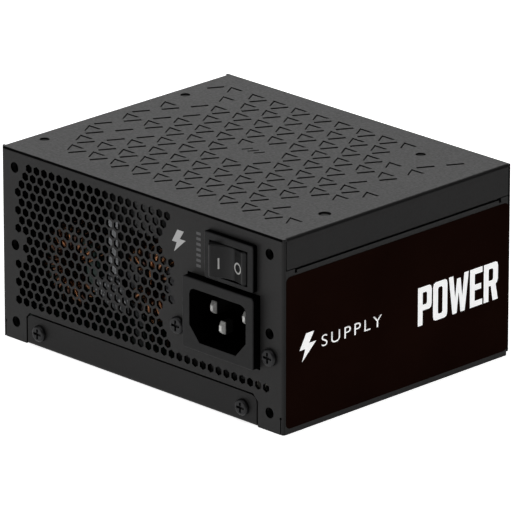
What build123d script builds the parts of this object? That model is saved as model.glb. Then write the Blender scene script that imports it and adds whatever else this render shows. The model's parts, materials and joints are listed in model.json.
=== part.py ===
"""Modular SFX power supply unit, one STEP file per physical piece.

Frame: millimetres, +Z up. The origin is the middle of the case's underside.
-Y is the rear (mains inlet, rocker switch, honeycomb), +Y the front with the
cable sockets, and +X and -X are the labelled sides.
"""

from build123d import *
import math
import os

# ---------------------------------------------------------------- case
WIDTH = 125.0
DEPTH = 100.0
HEIGHT = 63.5
SHEET = 0.8
BEND = 1.0                      # outer radius of every bend
GAP = 0.05                      # between sheets that lie on each other
SIDE = WIDTH / 2
REAR = -DEPTH / 2
FRONT = DEPTH / 2
REAR_IN = REAR + SHEET
FRONT_IN = FRONT - SHEET
SIDE_IN = SIDE - SHEET
FLAT_X = SIDE - BEND            # half width of a sheet between its side bends
PANEL_TOP = HEIGHT - SHEET - 0.1
SEAM_Z = 53.4                   # lower edge of the cover's side flanges
WALL_TOP = 53.1
TAB_Y = (REAR + 5.3, FRONT - 4.5)   # stretch of wall with the inner tab
TAB_TOP = 58.0

# ---------------------------------------------------------------- rear panel
HEX_ACROSS = 2.65
HEX_STEP = 1.72                 # half of the pitch along a row
HEX_ROW = 2.99
HEX_X0, HEX_Z0 = -55.1, 58.6
HEX_ROWS = [
    (3, 39), (2, 38), (1, 37), (0, 36), (1, 37), (0, 40), (1, 39), (0, 40),
    (3, 39), (2, 40), (3, 37), (0, 36), (1, 37), (0, 38), (1, 39), (0, 64),
]
MOUNT_X = 56.5
MOUNT_Z = (6.0, 31.75, 57.5)
MOUNT_R = 1.75
COLLAR_R = 2.5
COLLAR_DEPTH = 1.6
RELIEF_TOP = 5.3
TAB_X = (-51.2, 50.9)           # the bottom cover's tab in the rear panel
TAB_Z = 9.9
TAB_CLEAR = 0.6
TAB_SCREWS = ((-45.6, 4.9), (45.0, 4.9))

# ---------------------------------------------------------------- top cover
SLIT_SIDE = 8.8                 # side of one triangle of slits
SLIT_PITCH_X = 9.65
SLIT_PITCH_Y = 8.34
SLIT_X0, SLIT_Y0 = -61.84, 41.25
SLIT_LONG = 5.7
# x: bent slit and bar, v: bent slit, /: bar, .: nothing. First row at the front.
SLIT_MAP = [
    "/vxxxxxxxv./",
    ".vxxxxxxx./.",
    "./xxxxxxxxvv",
    "x/xxxxxxxxx.",
    "//xxxv.xxx/.",
    "xxxxx./xxxxv",
    "///xxxxxxxxv",
    "x/xxxxxxxx..",
    ".xxxxxxxxx/.",
    ".xxxxxxxxxxv",
]
COVER_HOLES = ((-56.9, 25.3, 1.6), (-56.9, -36.6, 1.6), (36.6, 36.6, 1.6), (54.4, -24.1, 2.0))

# ---------------------------------------------------------------- fan
FAN_X, FAN_Y = -3.0, 1.0
FAN_Z = (47.4, 62.4)
FAN_R_OUT, FAN_R_IN = 46.0, 43.5
EAR_Z = (58.9, 61.2)
HUB_R = 17.5
SHAFT_R = 1.5
BLADES = 9
BLADE_Z = 55.8
BLADE_HALF = 0.65               # half thickness
# radius, chord, pitch and sweep in degrees
BLADE_SECTIONS = ((16.7, 11.4, 50, 0), (29.0, 13.5, 42, 7), (42.2, 15.2, 34, 18))

# ---------------------------------------------------------------- inlet and switch
INLET_X, INLET_Z = 36.7, 30.9
INLET_W, INLET_H = 31.0, 23.6
INLET_OUT = 2.8                 # how far it stands out of the panel
INLET_BACK = -34.8
CAVITY_W, CAVITY_H = 24.6, 17.2
CAVITY_FLOOR = -37.8
CAVITY_CUT = (4.4, 5.0)         # the two low corners
CAVITY_CORNER = 2.0
INLET_SCREW_X, INLET_SCREW_Z = 20.0, 24.2     # x from the inlet's middle
LINE_PIN_X = 7.0
LINE_PIN_Z = INLET_Z + 1.8
EARTH_PIN_Z = INLET_Z - 2.3
PIN_W, PIN_H = 2.0, 4.0
PIN_TIP_W, PIN_TIP_H, PIN_TAPER = 1.0, 1.8, 1.2
# centre (x, z) and how far the tip lies behind the inlet's face
PINS = (
    (INLET_X - LINE_PIN_X, LINE_PIN_Z, 4.4),
    (INLET_X + LINE_PIN_X, LINE_PIN_Z, 4.4),
    (INLET_X, EARTH_PIN_Z, 1.3),
)
PIN_TABS = INLET_BACK + 3.3     # rear ends of the pins' solder tabs
SWITCH_X, SWITCH_Z = 40.5, 50.9
BEZEL_W, BEZEL_H = 21.2, 15.3
BEZEL_Z = SWITCH_Z + 0.45       # the bezel stands higher above its window than below
BEZEL_OUT = 1.8
WINDOW_W, WINDOW_H = 16.5, 11.4
SWITCH_BACK = -37.0
PIVOT_Y = -49.5
ROCKER_TILT = 8.0               # each way from the middle position
ROCKER_END = (7.0, 4.2)         # half length, and height of the face's ends over the pivot
ROCKER_VALLEY = 1.5             # height of the face's middle over the pivot
MARK_Z = -0.6
TERMINAL_X, TERMINAL_Z = 6.8, 3.0

# ---------------------------------------------------------------- boards and sockets
BOARD_Z = (7.0, 8.6)
BOARD_X = 59.0
BOARD_Y = (-45.0, 47.0)
STANDOFFS = ((-54.0, -39.0), (54.0, -39.0), (-54.0, 36.5), (54.0, 36.5))
FRONT_SCREWS = ((-58.3, 12.0), (58.3, 12.0), (-58.3, 48.0), (58.3, 48.0))
MODULAR_Y = (40.9, 42.5)
SOCKET_FRONT = FRONT + 2.8
SOCKET_H = 10.0
SOCKET_WALL = 0.8
SOCKET_FLOOR = 43.7
PITCH = 4.2
UPPER_Z, LOWER_Z = 38.5, 23.5
# node: pitch, pins along the socket, centres (x, z)
SOCKETS = {
    "socket_18pin": (PITCH, 9, ((-33.5, UPPER_Z),)),
    "socket_10pin": (PITCH, 5, ((1.5, UPPER_Z),)),
    "sockets_8pin": (PITCH, 4, ((27.0, UPPER_Z), (-42.0, LOWER_Z), (-18.5, LOWER_Z))),
    "socket_12pin": (3.0, 6, ((8.0, LOWER_Z),)),
    "sockets_6pin": (PITCH, 3, ((46.0, UPPER_Z), (39.0, LOWER_Z))),
}
LABEL_X, LABEL_Y = (-50.0, 50.0), (-40.0, 38.0)     # the underside's label
LABEL_DEPTH = 0.12

# ---------------------------------------------------------------- larger components
# x, y, z, inner and outer radius, width, thickness of the winding, arcs (start, sweep)
CHOKES = {
    "pfc_choke": (-41.0, -36.0, 26.4, 6.5, 12.2, 9.0, 1.3, ((20, 320),)),
    "line_choke": (-5.0, -36.2, 29.6, 6.0, 11.5, 8.0, 1.3, ((25, 130), (205, 130))),
}
SINK_X = (-22.4, -18.2)         # the primary heatsink's plate
SINK_TOP = 46.9
PACKAGE_X = (-27.2, SINK_X[0])  # packages that lie on its -X side
TRANSFORMER_Y = 6.0

# ---------------------------------------------------------------- leads
SWITCH_LOW = SWITCH_Z - TERMINAL_Z
MAINS_LEADS = (
    (
        (INLET_X + LINE_PIN_X, PIN_TABS, LINE_PIN_Z),
        (INLET_X + LINE_PIN_X, -25.5, LINE_PIN_Z),
        (SWITCH_X + TERMINAL_X, -25.5, 41.5),
        (SWITCH_X + TERMINAL_X, -25.5, SWITCH_LOW),
        (SWITCH_X + TERMINAL_X, -31.0, SWITCH_LOW),
    ),
    (
        (SWITCH_X - TERMINAL_X, -31.0, SWITCH_LOW),
        (SWITCH_X - TERMINAL_X, -27.8, SWITCH_LOW),
        (SWITCH_X - TERMINAL_X, -27.8, BOARD_Z[1]),
    ),
    (
        (INLET_X - LINE_PIN_X, PIN_TABS, LINE_PIN_Z),
        (INLET_X - LINE_PIN_X, -26.0, LINE_PIN_Z),
        (INLET_X - LINE_PIN_X, -26.0, BOARD_Z[1]),
    ),
)
EARTH_LEAD = (
    (INLET_X, PIN_TABS, EARTH_PIN_Z),
    (INLET_X, -26.0, EARTH_PIN_Z),
    (INLET_X, -26.0, BOARD_Z[1]),
)
FAN_HEADER_X, FAN_HEADER_Y = 19.0, 35.5
FAN_LEAD = (
    (FAN_X + 7.1, FAN_Y + 7.1, FAN_Z[0] + 2.0),
    (FAN_X + 7.1, FAN_Y + 7.1, 43.6),
    (FAN_HEADER_X, FAN_HEADER_Y, 43.6),
    (FAN_HEADER_X, FAN_HEADER_Y, 20.0),
)
LEAD_BEND = 2.4


# ---------------------------------------------------------------- helpers
def block(x, y, z):
    """A box from its (low, high) range on each axis."""
    size = (x[1] - x[0], y[1] - y[0], z[1] - z[0])
    return Pos((x[0] + x[1]) / 2, (y[0] + y[1]) / 2, (z[0] + z[1]) / 2) * Box(*size)


def rod(start, axis, radius, length):
    """A cylinder that starts at a point and runs along +X, +Y or +Z."""
    turn = {"x": Rot(0, 90, 0), "y": Rot(-90, 0, 0), "z": Rot(0, 0, 0)}[axis]
    low = (Align.CENTER, Align.CENTER, Align.MIN)
    return Pos(*start) * turn * Cylinder(radius, length, align=low)


def tube(start, axis, outer, inner, length):
    return rod(start, axis, outer, length) - rod(start, axis, inner, length)


def prism(points, direction):
    """A flat polygon pushed along a direction."""
    return Solid.extrude(Face(Wire.make_polygon(points)), Vector(*direction))


def perforated(outline, holes, direction):
    """A flat sheet from its outline and its hole wires, pushed to its thickness."""
    return Solid.extrude(Face(outline, holes), Vector(*direction))


def rounded(width, height, radius, centre, depth, axis="y"):
    """A rounded rectangle prism. Along y: width on X, height on Z; along x: width on Y."""
    planes = {
        "y": Plane(origin=centre, x_dir=(1, 0, 0), z_dir=(0, -1, 0)),
        "x": Plane(origin=centre, x_dir=(0, 1, 0), z_dir=(1, 0, 0)),
        "z": Plane(origin=centre, x_dir=(1, 0, 0), z_dir=(0, 0, 1)),
    }
    return extrude(planes[axis] * RectangleRounded(width, height, radius), depth)


def phillips(centre, radius, height, shank_r, shank_length, outward):
    """A pan-head screw with a cross recess. outward is the head's side along Y or Z."""
    head = Cylinder(radius, height, align=(Align.CENTER, Align.CENTER, Align.MIN))
    rim = head.edges().group_by(Axis.Z)[-1]
    head = fillet(rim, height * 0.55)
    arm = radius * 1.25
    cross = Box(arm, 0.8, 1.6) + Box(0.8, arm, 1.6)
    head = head - Pos(0, 0, height) * cross
    shank = rod((0, 0, -shank_length), "z", shank_r, shank_length)
    turn = {"-y": Rot(90, 0, 0), "+y": Rot(-90, 0, 0), "+z": Rot(0, 0, 0), "-z": Rot(180, 0, 0)}
    return Pos(*centre) * turn[outward] * (head + shank)


def bend_strip(corner, quadrant, axis, length):
    """A quarter of a bend. corner is the bend's centre, quadrant the signs of its outside."""
    ring = tube(corner, axis, BEND, BEND - SHEET, length)
    spans = [sorted((0, sign * 2 * BEND)) for sign in quadrant]
    spans.insert("xyz".index(axis), (0, length))
    keep = block(*[(c + low, c + high) for c, (low, high) in zip(corner, spans)])
    return ring & keep


def save(node, *shapes):
    """Writes a node's solids to its STEP file."""
    solids = [solid for shape in shapes for solid in shape.solids()]
    export_step(solids[0] if len(solids) == 1 else Compound(children=solids), f"parts/{node}.step")


# ---------------------------------------------------------------- case wrap
def hex_wire(x, z):
    corner = HEX_ACROSS / math.sqrt(3)
    angles = [math.radians(60 * i) for i in range(6)]
    points = [(x + corner * math.sin(a), REAR, z + corner * math.cos(a)) for a in angles]
    return Wire.make_polygon(points)


def rear_rect(x, z):
    corners = [(x[0], z[0]), (x[1], z[0]), (x[1], z[1]), (x[0], z[1])]
    return Wire.make_polygon([(u, REAR, v) for u, v in corners])


def rear_circle(x, z, radius):
    return Wire.make_circle(radius, Plane(origin=(x, REAR, z), z_dir=(0, -1, 0)))


def rear_outline():
    """The flat of the rear panel: window for the bottom cover's tab, and bend reliefs."""
    left, right = TAB_X[0] - TAB_CLEAR, TAB_X[1] + TAB_CLEAR
    top = TAB_Z + TAB_CLEAR
    slit = FLAT_X - 0.4
    points = [
        (-slit, 0), (left, 0), (left, top - 1.6), (left + 1.6, top), (right - 2.2, top),
        (right, top - 2.2), (right, 0), (slit, 0), (slit, RELIEF_TOP), (FLAT_X, RELIEF_TOP),
        (FLAT_X, PANEL_TOP), (-FLAT_X, PANEL_TOP), (-FLAT_X, RELIEF_TOP), (-slit, RELIEF_TOP),
    ]
    return Wire.make_polygon([(x, REAR, z) for x, z in points])


def rear_panel():
    holes = []
    for row, (first, last) in enumerate(HEX_ROWS):
        z = HEX_Z0 - HEX_ROW * row
        holes += [hex_wire(HEX_X0 + HEX_STEP * n, z) for n in range(first, last + 1, 2)]
    for side in (-1, 1):
        holes += [rear_circle(side * MOUNT_X, z, MOUNT_R) for z in MOUNT_Z]
        holes.append(rear_circle(INLET_X + side * INLET_SCREW_X, INLET_SCREW_Z, 1.6))
    holes.append(rear_rect(
        (INLET_X - INLET_W / 2 - 0.3, INLET_X + INLET_W / 2 + 0.3),
        (INLET_Z - INLET_H / 2 - 0.3, INLET_Z + INLET_H / 2 + 0.3),
    ))
    holes.append(rear_rect((SWITCH_X - 9.9, SWITCH_X + 9.9), (SWITCH_Z - 6.75, SWITCH_Z + 6.75)))
    return perforated(rear_outline(), holes, (0, SHEET, 0))


def side_wall(side):
    """A lower side wall, its inner tab behind the cover's flange, and its front return."""
    def x(a, b):
        return tuple(sorted((side * a, side * b)))

    wall = block(x(SIDE_IN, SIDE), (REAR + BEND, FRONT_IN - GAP), (0, WALL_TOP))
    wall -= block(x(SIDE_IN - 1, SIDE + 1), TAB_Y, (WALL_TOP - 0.5, WALL_TOP + 1))
    for y in TAB_Y:
        wall -= block(x(SIDE_IN - 1, SIDE + 1), (y - 0.5, y + 0.5), (WALL_TOP - 1.4, WALL_TOP + 1))
    tab_x = x(SIDE_IN - SHEET - GAP, SIDE_IN - GAP)
    tab = block(tab_x, (TAB_Y[0] + 0.5, TAB_Y[1] - 0.5), (51.0, TAB_TOP))
    joggle = block(x(SIDE_IN - SHEET, SIDE_IN + 0.2), (TAB_Y[0] + 0.5, TAB_Y[1] - 0.5), (51.0, 51.6))
    flange = block(x(55.5, SIDE_IN + 0.2), (FRONT_IN - GAP - SHEET, FRONT_IN - GAP), (2.0, 52.0))
    for screw_x, screw_z in FRONT_SCREWS:
        if screw_x * side > 0:
            flange -= rod((screw_x, 40, screw_z), "y", 1.25, 12)
    return wall + tab + joggle + flange


def tab_lug(x, z):
    """An ear behind the tab window that takes one of the bottom cover's screws."""
    top = TAB_Z + TAB_CLEAR
    lug = block((x - 4, x + 4), (REAR_IN + GAP, REAR_IN + GAP + SHEET), (1.5, top + 2.5))
    foot = block((x - 4, x + 4), (REAR_IN, REAR_IN + 0.4), (top + 0.3, top + 2.5))
    return lug + foot - rod((x, REAR, z), "y", 1.3, 5)


def case_wrap():
    shape = rear_panel()
    for side in (-1, 1):
        shape = shape + bend_strip((side * FLAT_X, REAR + BEND, 0), (side, -1), "z", PANEL_TOP)
        shape = shape + side_wall(side)
        shape = shape - rod((side * (FLAT_X - 0.2), REAR - 1, RELIEF_TOP), "y", 0.45, 3)
        for z in MOUNT_Z:
            collar = tube((side * MOUNT_X, REAR_IN - 0.2, z), "y", COLLAR_R, MOUNT_R, COLLAR_DEPTH)
            shape = shape + collar
    for x, z in TAB_SCREWS:
        shape = shape + tab_lug(x, z)
    return shape


# ---------------------------------------------------------------- top cover
def bent_slit(x, y):
    """The slit that turns the triangle's upper left corner, as an outline at the cover's top."""
    along = (0.5, -math.sqrt(3) / 2)
    inward = (math.sqrt(3) / 2, 0.5)
    wide, narrow = 0.9, 0.5
    run = (wide + inward[1] * narrow) / -along[1]
    points = [
        (0, 0),
        (SLIT_LONG, 0),
        (SLIT_LONG - wide * 0.58, -wide),
        (inward[0] * narrow + along[0] * run, -wide),
        (along[0] * SLIT_LONG + inward[0] * narrow, along[1] * SLIT_LONG + inward[1] * narrow),
        (along[0] * SLIT_LONG, along[1] * SLIT_LONG),
    ]
    return Wire.make_polygon([(x + u, y + v, HEIGHT) for u, v in points])


def bar_slit(x, y, start=0.18, end=0.84, width=1.2):
    """The straight slit on the triangle's right side."""
    along = (-0.5, -math.sqrt(3) / 2)
    across = (-along[1] * width / 2, along[0] * width / 2)
    ends = [(SLIT_SIDE * (1 + along[0] * t), SLIT_SIDE * along[1] * t) for t in (start, end)]
    points = [
        (ends[0][0] + across[0], ends[0][1] + across[1]),
        (ends[1][0] + across[0], ends[1][1] + across[1]),
        (ends[1][0] - across[0], ends[1][1] - across[1]),
        (ends[0][0] - across[0], ends[0][1] - across[1]),
    ]
    return Wire.make_polygon([(x + u, y + v, HEIGHT) for u, v in points])


def cover_slits():
    wires = []
    for row, marks in enumerate(SLIT_MAP):
        y = SLIT_Y0 - SLIT_PITCH_Y * row
        for column, mark in enumerate(marks):
            x = SLIT_X0 + SLIT_PITCH_X * (column + (row % 2) / 2)
            if mark in "xv":
                wires.append(bent_slit(x, y))
            if mark in "x/":
                wires.append(bar_slit(x, y))
    # A plain group of short slits in the middle of the cover
    for i in range(3):
        wires.append(bar_slit(-12.4 + 2.6 * i, 5.2, 0.2, 0.62, 0.8))
    return wires


def top_cover():
    top = HEIGHT
    low = top - SHEET
    outline = Wire.make_polygon([
        (-FLAT_X, REAR, top), (FLAT_X, REAR, top), (FLAT_X, FRONT, top), (-FLAT_X, FRONT, top)])
    holes = cover_slits()
    holes += [Wire.make_circle(r, Plane(origin=(x, y, top))) for x, y, r in COVER_HOLES]
    shape = perforated(outline, holes, (0, 0, -SHEET))
    flange_y = (REAR + BEND + 0.3, FRONT_IN - GAP)
    for side in (-1, 1):
        start = (side * FLAT_X, flange_y[0], top - BEND)
        bend = bend_strip(start, (side, 1), "y", flange_y[1] - flange_y[0])
        wall_x = tuple(sorted((side * SIDE_IN, side * SIDE)))
        corner_x = tuple(sorted((side * (FLAT_X - 0.5), side * SIDE)))
        rear_corner = block(corner_x, (REAR, flange_y[0]), (low, top))
        edge = rear_corner.edges().filter_by(Axis.Z).sort_by(Axis.Y)[:2].sort_by(Axis.X)
        rear_corner = fillet(edge[-1] if side > 0 else edge[0], BEND - 0.01)
        front_corner = block(corner_x, (flange_y[1], FRONT), (low, top))
        flange = block(wall_x, flange_y, (SEAM_Z, top - BEND))
        shape = shape + bend + flange + rear_corner + front_corner
    for x, y, r in COVER_HOLES:
        shape = shape + tube((x, y, low - 1.2), "z", r + 0.8, r, 1.3)
    return shape


# ---------------------------------------------------------------- bottom cover
def socket_width(pitch, count):
    return pitch * count + 2 * SOCKET_WALL


def front_panel():
    """The socket side of the bottom cover."""
    inner = SIDE_IN - GAP
    step = BEND + 0.3
    points = [
        (-SIDE, step), (-SIDE, PANEL_TOP), (SIDE, PANEL_TOP), (SIDE, step),
        (inner, step), (inner, BEND), (-inner, BEND), (-inner, step),
    ]
    outline = Wire.make_polygon([(x, FRONT, z) for x, z in points])
    holes = []
    for x, z in FRONT_SCREWS:
        holes.append(Wire.make_circle(1.6, Plane(origin=(x, FRONT, z), z_dir=(0, -1, 0))))
    for pitch, count, centres in SOCKETS.values():
        half = socket_width(pitch, count) / 2 + 0.3
        up = SOCKET_H / 2 + 0.3
        for x, z in centres:
            corners = [(-half, -up), (half, -up), (half, up), (2.7, up), (2.7, up + 1.3),
                       (-2.7, up + 1.3), (-2.7, up), (-half, up)]
            holes.append(Wire.make_polygon([(x + u, FRONT, z + v) for u, v in corners]))
    return perforated(outline, holes, (0, -SHEET, 0))


def rear_tab():
    """The tab that closes the window low in the rear panel."""
    left, right = TAB_X
    points = [
        (left, BEND), (left, TAB_Z - 1.6), (left + 0.3, TAB_Z - 0.6), (left + 1.6, TAB_Z),
        (right - 2.2, TAB_Z), (right - 0.5, TAB_Z - 0.6), (right, TAB_Z - 2.2), (right, BEND),
    ]
    outline = Wire.make_polygon([(x, REAR, z) for x, z in points])
    holes = [rear_circle(x, z, 1.6) for x, z in TAB_SCREWS]
    return perforated(outline, holes, (0, SHEET, 0))


def bottom_cover():
    half = SIDE_IN - GAP
    plate = block((-half, half), (REAR_IN + GAP, FRONT - BEND), (0, SHEET))
    plate += block(TAB_X, (REAR + BEND, REAR + BEND + 1), (0, SHEET))
    # outside the tab the plate stops behind the rear panel; at the tab it starts at the bend
    plate -= block(TAB_X, (REAR_IN - 1, REAR + BEND), (-1, 2))
    tab_bend = bend_strip((TAB_X[0], REAR + BEND, BEND), (-1, -1), "x", TAB_X[1] - TAB_X[0])
    front_bend = bend_strip((-half, FRONT - BEND, BEND), (1, -1), "x", 2 * half)
    shape = plate + tab_bend + rear_tab() + front_bend + front_panel()
    return shape - block(LABEL_X, LABEL_Y, (-1, LABEL_DEPTH))


# ---------------------------------------------------------------- labels and screws
def side_label(side):
    depth = 0.1
    x = SIDE if side > 0 else -SIDE - depth
    return rounded(98.3, 49.25, 1.8, (x, 0.25, 26.4), depth, "x")


def tab_screw_set():
    return [phillips((x, REAR, z), 2.65, 1.3, 1.28, 4.0, "-y") for x, z in TAB_SCREWS]


def front_screw_set():
    return [phillips((x, FRONT, z), 2.7, 1.5, 1.2, 4.0, "+y") for x, z in FRONT_SCREWS]


def inlet_screw_set():
    centres = [(INLET_X + side * INLET_SCREW_X, REAR, INLET_SCREW_Z) for side in (-1, 1)]
    return [phillips(centre, 2.85, 1.3, 1.4, 3.3, "-y") for centre in centres]


def fan_screw_set():
    return [phillips((x, y, EAR_Z[0]), 2.6, 1.6, 1.35, 4.2, "-z") for x, y, _ in COVER_HOLES]


def board_screw_set():
    return [phillips((x, y, BOARD_Z[1]), 2.6, 1.6, 1.2, 5.0, "+z") for x, y in STANDOFFS]


# ---------------------------------------------------------------- fan
def fan_frame():
    low, high = FAN_Z
    shape = tube((FAN_X, FAN_Y, low), "z", FAN_R_OUT, FAN_R_IN, high - low)
    for angle in (30, 120, 210, 300):
        a = math.radians(angle)
        mid = (FAN_X + 30 * math.cos(a), FAN_Y + 30 * math.sin(a), low + 1)
        shape = shape + Pos(*mid) * Rot(0, 0, angle) * Box(29, 4.0, 2.0)
    shape = shape + rod((FAN_X, FAN_Y, low), "z", HUB_R, 2.0)
    shape = shape + rod((FAN_X, FAN_Y, low), "z", 4.5, 10.6)
    shape = shape - rod((FAN_X, FAN_Y, low + 0.7), "z", 3.5, 12)
    bore = tube((FAN_X, FAN_Y, low - 1), "z", FAN_R_OUT + 30, FAN_R_OUT - 1, 20)
    for x, y, _ in COVER_HOLES:
        dx, dy = x - FAN_X, y - FAN_Y
        reach = math.hypot(dx, dy)
        start = FAN_R_OUT - 1.0
        mid = (start + reach) / 2
        angle = math.degrees(math.atan2(dy, dx))
        place = Pos(FAN_X + dx / reach * mid, FAN_Y + dy / reach * mid, sum(EAR_Z) / 2)
        arm = place * Rot(0, 0, angle) * Box(reach - start, 7.0, EAR_Z[1] - EAR_Z[0])
        ear = rod((x, y, EAR_Z[0]), "z", 4.2, EAR_Z[1] - EAR_Z[0])
        shape = shape + ((arm + ear) & bore) - rod((x, y, EAR_Z[0] - 1), "z", 1.45, 6)
    # way for the motor's lead through the base
    return shape - rod((FAN_X + 7.1, FAN_Y + 7.1, low - 1), "z", 1.25, 4)


def blade(angle):
    """One blade: slanted sections from the hub to the tip, joined by ruled faces."""
    sections = []
    for radius, chord, pitch, swept in BLADE_SECTIONS:
        a = math.radians(angle + swept)
        out = Vector(math.cos(a), math.sin(a), 0)
        tangent = Vector(-math.sin(a), math.cos(a), 0)
        p = math.radians(pitch)
        along = tangent * math.cos(p) + Vector(0, 0, math.sin(p))
        across = along.cross(out)
        middle = Vector(FAN_X, FAN_Y, BLADE_Z) + out * radius
        corners = []
        for u, v in ((-1, -1), (1, -1), (1, 1), (-1, 1)):
            corner = middle + along * (chord / 2 * u) + across * (BLADE_HALF * v)
            corners.append(tuple(corner))
        sections.append(Wire.make_polygon(corners))
    return Solid.make_loft(sections, ruled=True)


def fan_rotor():
    low = 50.4
    shape = rod((FAN_X, FAN_Y, low), "z", HUB_R, 61.8 - low)
    shape = fillet(shape.edges().group_by(Axis.Z)[-1], 1.2)
    for i in range(BLADES):
        shape = shape + blade(360 / BLADES * i)
    return shape - rod((FAN_X, FAN_Y, low - 1), "z", 16.3, 60.6 - low + 1)


def rotor_yoke():
    cup = rod((FAN_X, FAN_Y, 50.9), "z", 16.3, 9.7)
    cup = cup - rod((FAN_X, FAN_Y, 50), "z", 15.5, 9.8)
    return cup - rod((FAN_X, FAN_Y, 55), "z", SHAFT_R, 8)


def fan_stator():
    """Steel core with four poles and a coil on each."""
    ring = tube((FAN_X, FAN_Y, 51.4), "z", 7.0, 4.5, 5.6)
    for i in range(4):
        turn = Pos(FAN_X, FAN_Y, 54.2) * Rot(0, 0, 45 + 90 * i)
        ring = ring + turn * Pos(8.5, 0, 0) * Box(5.0, 4.4, 5.0)
        pole = tube((0, 0, -2.5), "z", 12.8, 10.8, 5.0) & Pos(11, 0, 0) * Box(6, 14, 6)
        ring = ring + turn * pole
    return ring


# ---------------------------------------------------------------- inlet
def cavity_outline():
    """The appliance inlet's shape: two corners cut off low, two rounded high."""
    w, h = CAVITY_W / 2, CAVITY_H / 2
    cut_x, cut_z = CAVITY_CUT
    r = CAVITY_CORNER
    points = [
        (-w + cut_x, -h), (w - cut_x, -h), (w, -h + cut_z),
        (w, h - r), (w - r * 0.3, h - r * 0.3), (w - r, h),
        (-w + r, h), (-w + r * 0.3, h - r * 0.3), (-w, h - r), (-w, -h + cut_z),
    ]
    return [(INLET_X + x, REAR - INLET_OUT, INLET_Z - 0.2 + z) for x, z in points]


def inlet_body():
    depth = INLET_BACK - (REAR - INLET_OUT)
    shape = rounded(INLET_W, INLET_H, 1.2, (INLET_X, INLET_BACK, INLET_Z), depth)
    rim = shape.edges().group_by(Axis.Y)[0]
    shape = fillet(rim, 0.5)
    behind = (REAR_IN + GAP, REAR_IN + 2.6)
    ears = block((INLET_X - 24.2, INLET_X + 24.2), behind, (19.6, 28.6))
    flange = block((INLET_X - 17.0, INLET_X + 17.0), behind, (INLET_Z - 12.6, INLET_Z + 11.9))
    shape = shape + ears + flange
    shape = shape - prism(cavity_outline(), (0, CAVITY_FLOOR - (REAR - INLET_OUT), 0))
    for x, z, _ in PINS:
        shape = shape - pin_shank(x, z, CAVITY_FLOOR - 1, INLET_BACK + 1)
    for side in (-1, 1):
        shape = shape - rod((INLET_X + side * INLET_SCREW_X, REAR, INLET_SCREW_Z), "y", 1.42, 6)
    return shape


def pin_shank(x, z, start, end):
    """The pin's full section between two depths."""
    return block((x - PIN_W / 2, x + PIN_W / 2), (start, end), (z - PIN_H / 2, z + PIN_H / 2))


def inlet_pin(x, z, tip_depth):
    """A flat pin with a tapered tip, and its solder tab behind the body."""
    tip = REAR - INLET_OUT + tip_depth
    sections = []
    for y, width, height in ((tip, PIN_TIP_W, PIN_TIP_H), (tip + PIN_TAPER, PIN_W, PIN_H)):
        corners = [(-1, -1), (1, -1), (1, 1), (-1, 1)]
        points = [(x + u * width / 2, y, z + v * height / 2) for u, v in corners]
        sections.append(Wire.make_polygon(points))
    taper = Solid.make_loft(sections, ruled=True)
    return pin_shank(x, z, tip + PIN_TAPER, PIN_TABS) + taper


# ---------------------------------------------------------------- switch
def switch_housing():
    shape = rounded(BEZEL_W, BEZEL_H, 0.7, (SWITCH_X, REAR, BEZEL_Z), BEZEL_OUT)
    rim = shape.edges().group_by(Axis.Y)[0]
    shape = fillet(rim, 0.45)
    half = (9.6, 6.6)
    shape = shape + block((SWITCH_X - half[0], SWITCH_X + half[0]), (REAR, SWITCH_BACK),
                          (SWITCH_Z - half[1], SWITCH_Z + half[1]))
    for side in (-1, 1):
        x = sorted((SWITCH_X + side * 9.5, SWITCH_X + side * 10.4))
        shape = shape + block(x, (REAR_IN + 0.1, REAR_IN + 2.4), (SWITCH_Z - 2.5, SWITCH_Z + 2.5))
    shape = shape - block((SWITCH_X - WINDOW_W / 2, SWITCH_X + WINDOW_W / 2), (REAR - 3, -41.5),
                          (SWITCH_Z - WINDOW_H / 2, SWITCH_Z + WINDOW_H / 2))
    # the rocker's pivot holes
    return shape - Pos(SWITCH_X, PIVOT_Y, SWITCH_Z) * Cylinder(1.25, 12.9)


def rocker_blank():
    """The rocker in its middle position about its pivot at the origin, front face to -Y."""
    end_x, end_y = ROCKER_END
    left, right = (-end_x, -end_y), (end_x, -end_y)
    back = ((7.85, -1.4), (7.95, 0), (7.3, 3.2), (-7.3, 3.2), (-7.95, 0), (-7.85, -1.4))
    with BuildSketch() as profile:
        with BuildLine():
            FilletPolyline(left, (0.0, -ROCKER_VALLEY), right, radius=9.0)
            Polyline(right, *back, left)
        make_face()
    height = WINDOW_H - 0.7
    body = Pos(0, 0, -height / 2) * extrude(profile.sketch, height)
    ends = [edge for edge in body.edges().filter_by(Axis.Z) if edge.center().Y < -end_y + 0.1]
    body = fillet(ends, 1.2)
    flat_edges = body.edges().filter_by(Axis.Z, reverse=True)
    body = fillet([edge for edge in flat_edges if edge.center().Y < -ROCKER_VALLEY], 0.4)
    return body + Cylinder(1.2, WINDOW_H + 1.3)


def mark_cutters():
    """Prisms for the bar and the ring of the on and off marks, in the rocker's own frame."""
    rise = (ROCKER_END[1] - ROCKER_VALLEY) / ROCKER_END[0]
    slope = math.degrees(math.atan(rise))
    bar = Pos(0, 0, -1.25) * Box(0.55, 3.5, 2.5)
    ring = Pos(0, 0, -1.25) * (Cylinder(1.85, 2.5) - Cylinder(1.34, 2.5))
    cutters = []
    for x, shape in ((-3.7, bar), (3.9, ring)):
        y = 0.3 - ROCKER_VALLEY - rise * abs(x)
        # the shape's -Z points out of the face, which leans back towards the valley
        lean = slope if x < 0 else -slope
        place = Pos(x, y, MARK_Z) * Rot(0, 0, lean) * Rot(-90, 0, 0)
        cutters.append(place * shape)
    return cutters


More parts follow.
